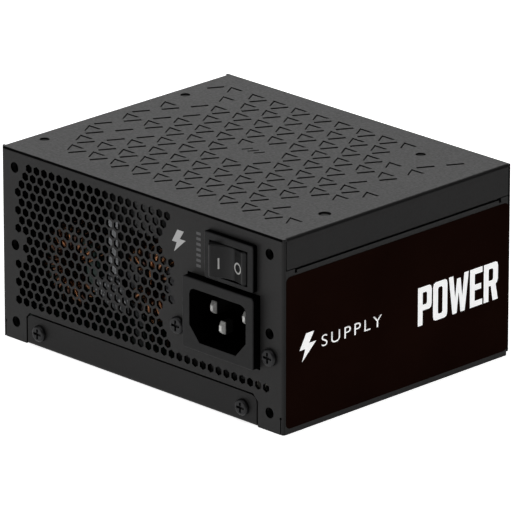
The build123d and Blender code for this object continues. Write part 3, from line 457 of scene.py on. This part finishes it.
# ------------------------------------------------------------------ mesh helpers
class Shape:
    """Collects geometry in millimetres and becomes one piece."""

    def __init__(self):
        self.bm = bmesh.new()

    def grid_faces(self, rows):
        """Quads between neighbours of rows of vertices."""
        for row, following in zip(rows, rows[1:]):
            for k in range(len(row) - 1):
                self.bm.faces.new((row[k], row[k + 1], following[k + 1], following[k]))

    def prism(self, outline, origin, u, v, depth):
        """A closed prism: a flat outline on axes u, v, pushed along u x v by depth."""
        u, v, origin = Vector(u), Vector(v), Vector(origin)
        out = u.cross(v).normalized() * depth
        base = [origin + u * a + v * b for a, b in outline]
        low = [self.bm.verts.new(p) for p in base]
        high = [self.bm.verts.new(p + out) for p in base]
        count = len(base)
        self.bm.faces.new(high)
        self.bm.faces.new(low[::-1])
        for i in range(count):
            j = (i + 1) % count
            self.bm.faces.new((low[i], low[j], high[j], high[i]))

    def block(self, low, high):
        """A solid between two facing quads."""
        low, high = ([self.bm.verts.new(p) for p in quad] for quad in (low, high))
        self.bm.faces.new(low)
        self.bm.faces.new(high[::-1])
        for k in range(4):
            n = (k + 1) % 4
            self.bm.faces.new((low[k], high[k], high[n], low[n]))

    def box(self, low, high, round_off=0.0):
        made = bmesh.ops.create_cube(self.bm, size=1.0)["verts"]
        low, high = Vector(low), Vector(high)
        for vert in made:
            vert.co = Vector((low[i] if vert.co[i] < 0 else high[i] for i in range(3)))
        if round_off:
            edges = list({e for vert in made for e in vert.link_edges})
            bmesh.ops.bevel(self.bm, geom=edges, offset=round_off, segments=2, affect="EDGES",
                            profile=0.5)

    def lathe(self, profile, centre, axis, steps):
        """A closed ring or solid of revolution from (radius, height) points along Y or Z."""
        frames = {"y": ((0, 0, 1), (1, 0, 0)), "z": ((1, 0, 0), (0, 1, 0))}
        u, v = (Vector(d) for d in frames[axis])
        along, centre = u.cross(v), Vector(centre)
        rings = []
        for radius, height in profile:
            if radius < 1e-6:
                rings.append([self.bm.verts.new(centre + along * height)])
                continue
            ring = []
            for k in range(steps):
                t = 2 * math.pi * k / steps
                out = u * math.cos(t) + v * math.sin(t)
                ring.append(self.bm.verts.new(centre + along * height + out * radius))
            rings.append(ring)
        for a, b in zip(rings, rings[1:]):
            for k in range(steps):
                n = (k + 1) % steps
                corners = [a[k % len(a)], a[n % len(a)], b[n % len(b)], b[k % len(b)]]
                distinct = list(dict.fromkeys(corners))
                if len(distinct) > 2:
                    self.bm.faces.new(distinct)

    def piece(self, name, material, body="case", slot=None, smooth=None):
        """Makes the piece and lets it ride on its body. smooth is the angle kept sharp, in degrees."""
        bmesh.ops.recalc_face_normals(self.bm, faces=self.bm.faces[:])
        mesh = bpy.data.meshes.new(name)
        self.bm.to_mesh(mesh)
        self.bm.free()
        mesh.transform(Matrix.Scale(MM, 4))
        return place_mesh(name, mesh, material, body, smooth)


def place_mesh(name, mesh, material, body="case", smooth=None):
    piece = bpy.data.objects.new(name, mesh)
    bpy.context.scene.collection.objects.link(piece)
    mesh.materials.clear()
    mesh.materials.append(material)
    if smooth:
        mesh.shade_smooth()
        mesh.set_sharp_from_angle(angle=math.radians(smooth))
    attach(piece, body)
    return piece


def mesh_from(curve):
    """The mesh of a curve, which is removed."""
    holder = bpy.data.objects.new("holder", curve)
    bpy.context.scene.collection.objects.link(holder)
    bpy.context.view_layer.update()
    solid = holder.evaluated_get(bpy.context.evaluated_depsgraph_get())
    mesh = bpy.data.meshes.new_from_object(solid)
    bpy.data.objects.remove(holder)
    bpy.data.curves.remove(curve)
    return mesh


def wire_mesh(name, strands, radius, steps):
    """Round wires along lists of points, in millimetres, as one mesh."""
    curve = bpy.data.curves.new(name, "CURVE")
    curve.dimensions = "3D"
    curve.bevel_depth = radius * MM
    curve.bevel_resolution = steps
    curve.use_fill_caps = True
    for points in strands:
        spline = curve.splines.new("POLY")
        spline.points.add(len(points) - 1)
        for knot, p in zip(spline.points, points):
            knot.co = (*(Vector(p) * MM), 1)
    return mesh_from(curve)


def word_mesh(word, width, height):
    """A generic word in light, widely spaced letters, flat, its lower left corner at the origin."""
    curve = bpy.data.curves.new("word", "FONT")
    curve.body = word
    curve.size = 1.0
    curve.offset = -0.004
    curve.space_character = 1.3
    mesh = mesh_from(curve)
    xs = [v.co.x for v in mesh.vertices]
    ys = [v.co.y for v in mesh.vertices]
    left, low = min(xs), min(ys)
    across, up = width / (max(xs) - left), height / (max(ys) - low)
    for v in mesh.vertices:
        v.co = ((v.co.x - left) * across, (v.co.y - low) * up, 0)
    return mesh


# Block capitals as outlines and holes in a cell one wide and one high
CAPITALS = {
    "P": (
        ((0, 0), (0.34, 0), (0.34, 0.38), (0.82, 0.38), (0.95, 0.41), (1, 0.50), (1, 0.88),
         (0.95, 0.97), (0.82, 1), (0, 1)),
        ((0.34, 0.53), (0.60, 0.53), (0.66, 0.57), (0.66, 0.81), (0.60, 0.85), (0.34, 0.85)),
    ),
    "O": (
        ((0.18, 0), (0.82, 0), (0.95, 0.03), (1, 0.12), (1, 0.88), (0.95, 0.97), (0.82, 1),
         (0.18, 1), (0.05, 0.97), (0, 0.88), (0, 0.12), (0.05, 0.03)),
        ((0.40, 0.15), (0.60, 0.15), (0.66, 0.19), (0.66, 0.81), (0.60, 0.85), (0.40, 0.85),
         (0.34, 0.81), (0.34, 0.19)),
    ),
    "W": (
        ((0, 1), (0.22, 1), (0.32, 0.38), (0.41, 0.90), (0.59, 0.90), (0.68, 0.38), (0.78, 1),
         (1, 1), (0.81, 0), (0.60, 0), (0.50, 0.56), (0.40, 0), (0.19, 0)),
    ),
    "E": (
        ((0, 0), (1, 0), (1, 0.15), (0.38, 0.15), (0.38, 0.425), (0.90, 0.425), (0.90, 0.575),
         (0.38, 0.575), (0.38, 0.85), (1, 0.85), (1, 1), (0, 1)),
    ),
    "R": (
        ((0, 0), (0.34, 0), (0.34, 0.40), (0.50, 0.40), (0.64, 0), (1, 0), (0.84, 0.41),
         (0.95, 0.46), (1, 0.55), (1, 0.88), (0.95, 0.97), (0.82, 1), (0, 1)),
        ((0.34, 0.54), (0.60, 0.54), (0.66, 0.58), (0.66, 0.81), (0.60, 0.85), (0.34, 0.85)),
    ),
}


def block_word_mesh(word, widths, gap, height):
    """A word in heavy condensed block capitals as a flat mesh, its lower left corner at the origin."""
    curve = bpy.data.curves.new("word", "CURVE")
    curve.dimensions = "2D"
    curve.fill_mode = "BOTH"
    start = 0.0
    for letter, width in zip(word, widths):
        for outline in CAPITALS[letter]:
            spline = curve.splines.new("POLY")
            spline.points.add(len(outline) - 1)
            spline.use_cyclic_u = True
            for knot, (u, v) in zip(spline.points, outline):
                knot.co = (start + u * width, v * height, 0, 1)
        start += width + gap
    return mesh_from(curve)


def thickened(mesh, thickness):
    """Gives a flat mesh a thickness along its +Z, with its faces in the same order each run."""
    bm = bmesh.new()
    bm.from_mesh(mesh)
    bmesh.ops.remove_doubles(bm, verts=bm.verts[:], dist=1e-4)
    faces = bm.faces[:]
    rim = [edge.link_loops[0] for edge in bm.edges if edge.is_boundary]
    up = Vector((0, 0, thickness))
    above = {vert: bm.verts.new(vert.co + up) for vert in bm.verts[:]}
    for face in faces:
        bm.faces.new([above[vert] for vert in face.verts], face)
    for loop in rim:
        start, end = loop.vert, loop.link_loop_next.vert
        bm.faces.new((start, end, above[end], above[start]), loop.face)
    bmesh.ops.recalc_face_normals(bm, faces=bm.faces[:])
    bm.to_mesh(mesh)
    bm.free()


def on_side(mesh, side, y, z, x):
    """Lays a flat mesh on the side at x. y is where its left edge is, seen from that side."""
    turn = Matrix(((0, 0, side, 0), (side, 0, 0, 0), (0, 1, 0, 0), (0, 0, 0, 1)))
    mesh.transform(turn)
    mesh.transform(Matrix.Translation((x, y, z)))
    mesh.transform(Matrix.Scale(MM, 4))


# ------------------------------------------------------------------ printed marks
BOLT = ((0.42, 1.0), (0.10, 0.44), (0.38, 0.44), (0.22, 0.0), (0.90, 0.62), (0.56, 0.62), (0.80, 1.0))
INK = 0.02                      # thickness of the print
# On the side labels: how far a mark starts from the label's left edge, and its height above the floor
LARGE_AT, SMALL_AT, BOLT_AT = (57.7, 20.2), (15.3, 24.8), (9.2, 22.0)


def side_print(side):
    """The generic marks on a side label: a bolt, a small word and a large one."""
    node = "side_label_right" if side > 0 else "side_label_left"
    low, high = span(node)
    face = high.x if side > 0 else low.x
    left = low.y if side > 0 else high.y
    tag = "right" if side > 0 else "left"

    large = block_word_mesh("POWER", widths=(6.1, 6.4, 8.9, 5.6, 6.4), gap=0.65, height=12.6)
    thickened(large, INK)
    on_side(large, side, left + side * LARGE_AT[0], LARGE_AT[1], face)
    place_mesh(f"print_large_{tag}", large, PRINT_WHITE)
    small = word_mesh("SUPPLY", width=26.4, height=3.8)
    thickened(small, INK)
    on_side(small, side, left + side * SMALL_AT[0], SMALL_AT[1], face)
    place_mesh(f"print_small_{tag}", small, PRINT_WHITE)

    shape = Shape()
    outline = [(a * 9.0 - 4.4, b * 9.0) for a, b in BOLT]
    origin = (face, left + side * BOLT_AT[0], BOLT_AT[1])
    shape.prism(outline, origin, (0, side, 0), (0, 0, 1), INK)
    shape.piece(f"print_bolt_{tag}", PRINT_WHITE)


def rear_print():
    """A generic bolt above the honeycomb's right end, and a column of short bars."""
    face, across, up = -50.0, (1, 0, 0), (0, 0, 1)
    shape = Shape()
    outline = [(a * 7.4, b * 7.4) for a, b in BOLT]
    shape.prism(outline, (13.4, face, 47.9), across, up, INK)
    shape.piece("print_bolt_rear", PRINT_PALE)
    bars = Shape()
    bar = ((0, 0), (1.9, 0), (1.9, 0.9), (0, 0.9))
    for i in range(7):
        bars.prism(bar, (24.8, face, 45.4 + 1.75 * i), across, up, INK)
    bars.piece("print_bars_rear", PRINT_GREY)


def spec_print():
    """A ruled table of plain bars on the underside's label, with no words."""
    low, high = span("spec_label")
    rows, columns, row_step, rule, margin = 5, 8, 7, 0.25, 6
    left, right, front = low.x + margin, high.x - margin, high.y - margin
    table = Shape()

    def bar(x0, x1, y0, y1):
        table.box((x0, y0, low.z - 0.001), (x1, y1, low.z + INK))

    for i in range(rows + 1):
        y = front - row_step * i
        bar(left, right, y - rule, y)
    for i in range(columns + 1):
        x = left + (right - left - rule) * i / columns
        bar(x, x + rule, front - (rows * row_step + rule), front)
    draw = random.Random(4)
    for row in range(rows):
        for column in range(columns):
            x = left + (right - left) * column / columns + 2
            width = draw.uniform(3.0, 7.5)
            y = front - row_step * row - 4.2
            bar(x, x + width, y, y + 1.1)
    for i in range(3):
        y = front - 44 - 4.5 * i
        bar(left, left + draw.uniform(30, 60), y, y + 1.2)
    table.piece("print_table", PRINT_WHITE)


# ------------------------------------------------------------------ fan
BLADES, TIP_R, BLADE_Z = 9, 42.2, 55.8
ACROSS, ALONG = 14, 12          # facets over a blade's chord and over its length
ROOT_SINK = 0.7                 # how deep a blade's root sits in the hub


def blade_point(pos, hub_r, number, t, s, face):
    """A point of a blade: t runs from root to tip, s over the chord, face is 1 above and -1 below."""
    radius = hub_r - ROOT_SINK + (TIP_R - hub_r + ROOT_SINK) * t
    chord = 11.4 + 3.8 * t
    pitch = math.radians(50 - 16 * t)
    sweep = math.radians(360 / BLADES * number + 18 * t ** 1.4)
    bulge = 1 - (2 * s - 1) ** 2
    along = (s - 0.5) * chord
    off = 1.15 * bulge - 0.55 + face * (0.62 * math.sqrt(bulge) ** 0.6)
    angle = sweep + (along * math.cos(pitch) - off * math.sin(pitch)) / radius
    rise = along * math.sin(pitch) + off * math.cos(pitch)
    return (pos.x + radius * math.cos(angle), pos.y + radius * math.sin(angle), BLADE_Z + rise)


def add_blade(shape, pos, hub_r, number):
    """A cambered, swept blade that thins towards both edges."""
    faces = []
    for face in (1, -1):
        rows = []
        for i in range(ALONG + 1):
            points = [blade_point(pos, hub_r, number, i / ALONG, k / ACROSS, face)
                      for k in range(ACROSS + 1)]
            rows.append([shape.bm.verts.new(p) for p in points])
        faces.append(rows)
    top, under = faces
    shape.grid_faces(top)
    shape.grid_faces(under)
    for i in range(ALONG):
        for k in (0, ACROSS):
            shape.bm.faces.new((top[i][k], top[i + 1][k], under[i + 1][k], under[i][k]))
    for i in (0, ALONG):
        shape.grid_faces((top[i], under[i]))


def fan_impeller():
    """Blades on a hub with a rounded crown and a printed sticker; it stands for the CAD rotor."""
    low, high = span("fan_rotor")
    yoke_low, yoke_high = span("rotor_yoke")
    pos = Vector(JOINTS["fan_spin"]["pos_m"]) / MM
    axis = (pos.x, pos.y, 0)
    wall = 1.2
    hub_r = (yoke_high.x - yoke_low.x) / 2 + wall
    inner_r = hub_r - wall
    bottom, crown = low.z, high.z
    shape = Shape()
    shape.lathe([(0, crown), (hub_r - 4, crown), (hub_r - 1.2, crown - 0.25),
                 (hub_r - 0.3, crown - 0.9), (hub_r, crown - 2.0), (hub_r, bottom),
                 (inner_r, bottom), (inner_r, crown - wall), (0, crown - wall)], axis, "z", 72)
    for number in range(BLADES):
        add_blade(shape, pos, hub_r, number)
    bmesh.ops.remove_doubles(shape.bm, verts=shape.bm.verts[:], dist=0.001)
    piece = shape.piece("fan_impeller", FINISH["moulded_black"], "rotor", "moulded_black", 35)
    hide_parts("fan_rotor")

    face = crown + 0.06
    sticker = Shape()
    sticker.lathe([(0, face), (13.0, face), (13.0, crown), (0, crown)], axis, "z", 64)
    silver = ink("sticker_silver", (0.42, 0.43, 0.45), 0.3)
    sticker.piece("fan_sticker", silver, "rotor", smooth=30)
    rings = Shape()
    for radius in (11.8, 7.0):
        outer, proud = radius + 0.5, crown + 0.08
        rings.lathe([(radius, face), (radius, proud), (outer, proud), (outer, face), (radius, face)],
                    axis, "z", 64)
    rings.piece("fan_sticker_rings", PRINT_GREY, "rotor")


def stator_coils():
    """Copper coils on the motor's four poles."""
    pos = Vector(JOINTS["fan_spin"]["pos_m"]) / MM
    centre = Vector((pos.x, pos.y, 54.2))
    strands = []
    count, steps = 8, 24        # turns in a layer, points in a turn
    for pole in range(4):
        angle = math.radians(45 + 90 * pole)
        out = Vector((math.cos(angle), math.sin(angle), 0))
        side = Vector((-math.sin(angle), math.cos(angle), 0))
        for layer in range(2):
            points = []
            half_w, half_h = 2.45 + 0.42 * layer, 2.75 + 0.42 * layer
            for i in range(count * steps):
                t = i / steps
                a = 2 * math.pi * t
                u = half_w * max(-1, min(1, 1.25 * math.cos(a)))
                w = half_h * max(-1, min(1, 1.25 * math.sin(a)))
                points.append(centre + out * (7.5 + 0.38 * t) + side * u + Vector((0, 0, w)))
            strands.append(points)
    mesh = wire_mesh("stator_coils", strands, 0.19, 2)
    place_mesh("stator_coils", mesh, FINISH["copper_winding"], "case", 60)


# ------------------------------------------------------------------ chokes
WIRE_R = 0.62
SQUARENESS = 5.0                # how closely a turn hugs the core's square section


def wound(centre, inner, outer, width, start, sweep, count):
    """The path of wire wound round a ring core whose axis is Y."""
    points = []
    steps = count * 20
    half_r, half_w = (outer - inner) / 2 + WIRE_R, width / 2 + WIRE_R
    mid = (inner + outer) / 2
    for i in range(steps + 1):
        t = i / steps
        around = math.radians(start + sweep * t)
        a = 2 * math.pi * count * t + math.pi
        c, s = math.cos(a), math.sin(a)
        length = (abs(c) ** SQUARENESS + abs(s) ** SQUARENESS) ** (1 / SQUARENESS)
        radius = mid + half_r * c / length
        points.append(centre + Vector((radius * math.cos(around), half_w * s / length,
                                       radius * math.sin(around))))
    return points


def choke(node, inner, outer, arcs, count):
    """Enamelled wire on a ring core, with its two ends down to the board."""
    low, high = span(node + "_core")
    centre = (low + high) / 2
    width = high.y - low.y
    board_top = span("main_board")[1].z
    strands = []
    for start, sweep in arcs:
        path = wound(centre, inner, outer, width, start, sweep, count)
        for end in (0, -1):
            tip = path[end]
            foot = Vector((centre.x + (tip.x - centre.x) * 0.7, tip.y, board_top))
            knee = Vector((foot.x, foot.y, board_top + 3.0))
            path = [foot, knee] + path if end == 0 else path + [knee, foot]
        strands.append(path)
    mesh = wire_mesh(node + "_wire", strands, WIRE_R, 3)
    piece = place_mesh(node + "_wire", mesh, FINISH["copper_winding"], "case", 60)
    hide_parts(node + "_winding")
    soften(node + "_core", 0.9, 3)


# ------------------------------------------------------------------ components
def bulk_capacitor_trim():
    """A pale stripe along the sleeve, the shrunk-on sleeve's lips and the vented end disc."""
    low, high = span("bulk_capacitor")
    mid, radius = (low + high) / 2, (high.x - low.x) / 2
    length = high.y - low.y
    sleeve = Shape()
    profile = [(radius + 0.12, 0.9), (radius + 0.12, length - 0.9), (radius - 1.0, length + 0.1),
               (radius - 2.6, length + 0.1), (radius - 2.6, length - 0.05),
               (radius - 1.4, length - 0.1), (radius - 0.1, length - 1.0), (radius - 0.1, 1.0),
               (radius - 1.4, 0.1), (radius - 2.6, 0.05), (radius - 2.6, -0.1),
               (radius - 1.0, -0.1), (radius + 0.12, 0.9)]
    sleeve.lathe(profile, (mid.x, low.y, mid.z), "y", 72)
    sleeve.piece("capacitor_sleeve", FINISH["capacitor_sleeve"], "case", "capacitor_sleeve", 50)

    stripe = Shape()
    steps, out = 8, radius + 0.15
    for i in range(steps):
        a, b = (math.radians(100 + 22 * (i + k) / steps) for k in (0, 1))
        quad = [(mid.x + out * math.cos(angle), y, mid.z + out * math.sin(angle))
                for angle, y in ((a, low.y + 2), (b, low.y + 2), (b, high.y - 2), (a, high.y - 2))]
        deep = [Vector(p) + (Vector(p) - Vector((mid.x, p[1], mid.z))).normalized() * 0.03
                for p in quad]
        stripe.block(quad, deep)
    stripe.piece("capacitor_stripe", PRINT_GREY)

    vent = Shape()
    centre = Vector((mid.x, low.y - 0.02, mid.z))
    for i in range(3):
        a = math.radians(90 + 120 * i)
        u, w = Vector((math.cos(a), 0, math.sin(a))), Vector((-math.sin(a), 0, math.cos(a)))
        quad = [centre + u * p + w * q
                for p, q in ((0.4, -0.35), (8.5, -0.35), (8.5, 0.35), (0.4, 0.35))]
        vent.block(quad, [corner + Vector((0, 0.3, 0)) for corner in quad])
    vent.piece("capacitor_vent", FINISH["heatsink"], "case", "heatsink")


def output_capacitor_trim():
    """A rubber foot and a coloured half disc on each polymer can."""
    low, high = span("output_capacitors")
    foot = [(4.15, low.z), (4.15, low.z + 1.2), (3.9, low.z + 1.5), (3.9, low.z), (4.15, low.z)]
    angles = [math.radians(a) for a in range(-80, 81, 10)]
    half_disc = [(3.2 * math.cos(a), 3.2 * math.sin(a)) for a in angles]
    feet, marks = Shape(), Shape()
    for i in range(3):
        for j in range(3):
            x = low.x + 4 + (high.x - low.x - 8) * i / 2
            y = low.y + 4 + (high.y - low.y - 8) * j / 2
            feet.lathe(foot, (x, y, 0), "z", 36)
            marks.prism(half_disc, (x, y, high.z), (1, 0, 0), (0, 1, 0), 0.03)
    feet.piece("output_capacitor_feet", FINISH["component_black"], "case", "component_black", 40)
    marks.piece("output_capacitor_marks", MARK_RED)


CHIP_SIZES = ((2.0, 1.2), (3.2, 1.6), (1.6, 0.8))
CHIP_HEIGHT, CHIP_GAP = 0.6, 0.4


def board_parts(name, seed, tries, region, z):
    """Small chip parts with bright end caps on a flat board whose face is at z.

    tries is how many are thrown on the region. Those that would touch another are left out.
    """
    draw = random.Random(seed)
    bodies, caps = Shape(), Shape()
    top = z + CHIP_HEIGHT
    taken = []
    for _ in range(tries):
        x, y = draw.uniform(*region[0]), draw.uniform(*region[1])
        length, width = draw.choice(CHIP_SIZES)
        if draw.random() < 0.5:
            length, width = width, length
        if not all(abs(x - a) > (length + c) / 2 + CHIP_GAP or abs(y - b) > (width + d) / 2 + CHIP_GAP
                   for a, b, c, d in taken):
            continue
        taken.append((x, y, length, width))
        bodies.box((x - length / 2, y - width / 2, z), (x + length / 2, y + width / 2, top))
        along = 0 if length > width else 1
        for end in (-1, 1):
            centre = [x, y]
            centre[along] += end * (max(length, width) / 2 - 0.12)
            half = [length / 2 + 0.03, width / 2 + 0.03]
            half[along] = 0.2
            caps.box((centre[0] - half[0], centre[1] - half[1], z - 0.01),
                     (centre[0] + half[0], centre[1] + half[1], top + 0.03))
    bodies.piece(name, PART_TAN)
    caps.piece(name + "_caps", SOLDER)


def upright_board_parts():
    """Inductors, switches and chips on the converter board and the control board."""
    chips, coils = Shape(), Shape()
    right_face = 54.0
    for i in range(4):
        y = 2.0 + 7.2 * i
        coils.box((right_face - 5.6, y, 24.0), (right_face, y + 6.0, 31.0), 0.5)
        chips.box((right_face - 1.2, y, 14.0), (right_face, y + 5.0, 19.5), 0.15)
    for i in range(2):
        chips.box((-27.0 + 9 * i, 29.4, 14.0), (-21.5 + 9 * i, 30.6, 20.0), 0.15)
    chips.box((-26.0, 32.0, 22.0), (-14.0, 33.1, 28.0), 0.15)
    coils.piece("converter_inductors", FINISH["ferrite"], "case", "ferrite")
    chips.piece("upright_chips", FINISH["component_black"], "case", "component_black")


def transformer_trim():
    """Two turns of tape round the core, and the pins of the base."""
    low, high = span("transformer_core")
    proud = 0.12
    tape = Shape()
    for z in (low.z + 2.6, high.z - 3.4):
        tape.box((low.x - proud, low.y - proud, z), (high.x + proud, high.y + proud, z + 1.0))
    tape.piece("transformer_strap", FINISH["tape_yellow"], "case", "tape_yellow")
    low, high = span("transformer_base")
    bottom, top = low.z - 1.6, high.z + 1.6
    pins = Shape()
    for i in range(5):
        for y in (low.y + 0.9, high.y - 0.9):
            pins.lathe([(0, bottom), (0.45, bottom), (0.45, top), (0, top)],
                       (low.x + 3 + 6.7 * i, y, 0), "z", 12)
    pins.piece("transformer_pins", SOLDER, smooth=40)


def solder_joints():
    """Domes of solder under the main board."""
    low, high = span("main_board")
    draw = random.Random(11)
    dome = [(1.1, low.z), (0.8, low.z - 0.45), (0.35, low.z - 1.0), (0, low.z - 1.1)]
    domes = Shape()
    columns, rows = 16, 11
    for i in range(columns):
        for j in range(rows):
            if draw.random() < 0.45:
                continue
            x = low.x + 8 + (high.x - low.x - 16) * i / (columns - 1) + draw.uniform(-1.5, 1.5)
            y = low.y + 10 + (high.y - low.y - 20) * j / (rows - 1) + draw.uniform(-1.5, 1.5)
            domes.lathe(dome, (x, y, 0), "z", 10)
    domes.piece("solder_joints", SOLDER, smooth=60)


def lead_sleeves():
    """Heat-shrink sleeves where leads meet the inlet's and the switch's tabs."""
    sleeves = Shape()
    low, high = span("inlet_pins")
    profile = [(0, 0), (2.3, 0), (2.4, 0.3), (2.4, 3.2), (1.4, 4.4), (1.25, 5.0), (0, 5.0)]
    for x in (low.x + 1, high.x - 1):
        sleeves.lathe(profile, (x, high.y - 2.6, high.z - 2.0), "y", 28)
    low, high = span("switch_terminals")
    profile = [(0, 0), (2.2, 0), (2.3, 0.3), (2.3, 3.0), (1.4, 3.6), (0, 3.6)]
    for x in (low.x + 0.4, high.x - 0.4):
        sleeves.lathe(profile, (x, high.y - 3.2, low.z + 2.3), "y", 28)
    sleeves.piece("lead_sleeves", MARK_RED, smooth=50)


# ------------------------------------------------------------------ stage
def floor():
    bpy.ops.mesh.primitive_plane_add(size=12.0, location=(0, 0, 0))
    plane = bpy.context.object
    plane.name = "floor"
    plane.data.materials.append(floor_paper())


def aimed(name, data, azimuth, elevation, distance, height):
    """Places a light or a camera so that it looks at a point above the origin.

    Azimuth 0 is at -Y and 90 at +X.
    """
    a, e = math.radians(azimuth), math.radians(elevation)
    back = Vector((math.sin(a) * math.cos(e), -math.cos(a) * math.cos(e), math.sin(e)))
    made = bpy.data.objects.new(name, data)
    made.location = back * distance + Vector((0, 0, height))
    made.rotation_euler = (-back).to_track_quat("-Z", "Y").to_euler()
    bpy.context.scene.collection.objects.link(made)
    return made


def area_light(name, azimuth, elevation, distance, size, power):
    """A square softbox that looks at the object."""
    data = bpy.data.lights.new(name, "AREA")
    data.shape = "SQUARE"
    data.size = size
    data.energy = power
    aimed(name, data, azimuth, elevation, distance, 0.03)


def lights():
    """A white room that is darker towards +X, and three softboxes.

    One is above, one low at the front left and one low at the rear left.
    """
    world = bpy.data.worlds.new("studio")
    world.use_nodes = True
    nodes, links = world.node_tree.nodes, world.node_tree.links
    coords = nodes.new("ShaderNodeTexCoord")
    parts = nodes.new("ShaderNodeSeparateXYZ")
    links.new(coords.outputs["Generated"], parts.inputs["Vector"])
    fall = nodes.new("ShaderNodeMapRange")
    links.new(parts.outputs["X"], fall.inputs["Value"])
    fall.inputs["From Min"].default_value = -0.2
    fall.inputs["From Max"].default_value = 0.9
    fall.inputs["To Min"].default_value = 0.62
    fall.inputs["To Max"].default_value = 0.12
    links.new(fall.outputs["Result"], nodes["Background"].inputs["Strength"])
    bpy.context.scene.world = world
    area_light("overhead", 45, 82, 1.6, 1.6, 14)
    area_light("behind", 225, 26, 1.6, 1.2, 7.5)
    area_light("rear_left", -30, 25, 1.8, 1.0, 5)


def camera():
    """A long lens at the object's rear corner; the small shift centres the framing."""
    data = bpy.data.cameras.new("camera")
    data.sensor_width = 36.0
    data.lens = 512.1
    data.shift_x = 0.0022
    data.shift_y = -0.0120
    data.clip_start, data.clip_end = 0.1, 50.0
    mid_height = 31.75 * MM
    bpy.context.scene.camera = aimed("camera", data, 45.1, 19.84, 2.286, mid_height)


def build():
    dress_nodes()
    for side in (1, -1):
        side_print(side)
    rear_print()
    spec_print()
    fan_impeller()
    stator_coils()
    choke("pfc_choke", 6.5, 12.2, ((20, 320),), 25)
    choke("line_choke", 6.0, 11.5, ((25, 130), (205, 130)), 9)
    bulk_capacitor_trim()
    output_capacitor_trim()
    board_top = span("main_board")[1].z
    board_parts("board_chips_top", 5, 90, ((-18, 18), (20, 38)), board_top)
    board_parts("board_chips_side", 6, 60, ((30, 52), (-8, 8)), board_top)
    upright_board_parts()
    transformer_trim()
    solder_joints()
    lead_sleeves()
    floor()
    lights()
    camera()
    bpy.context.scene.view_settings.view_transform = "Standard"


build()
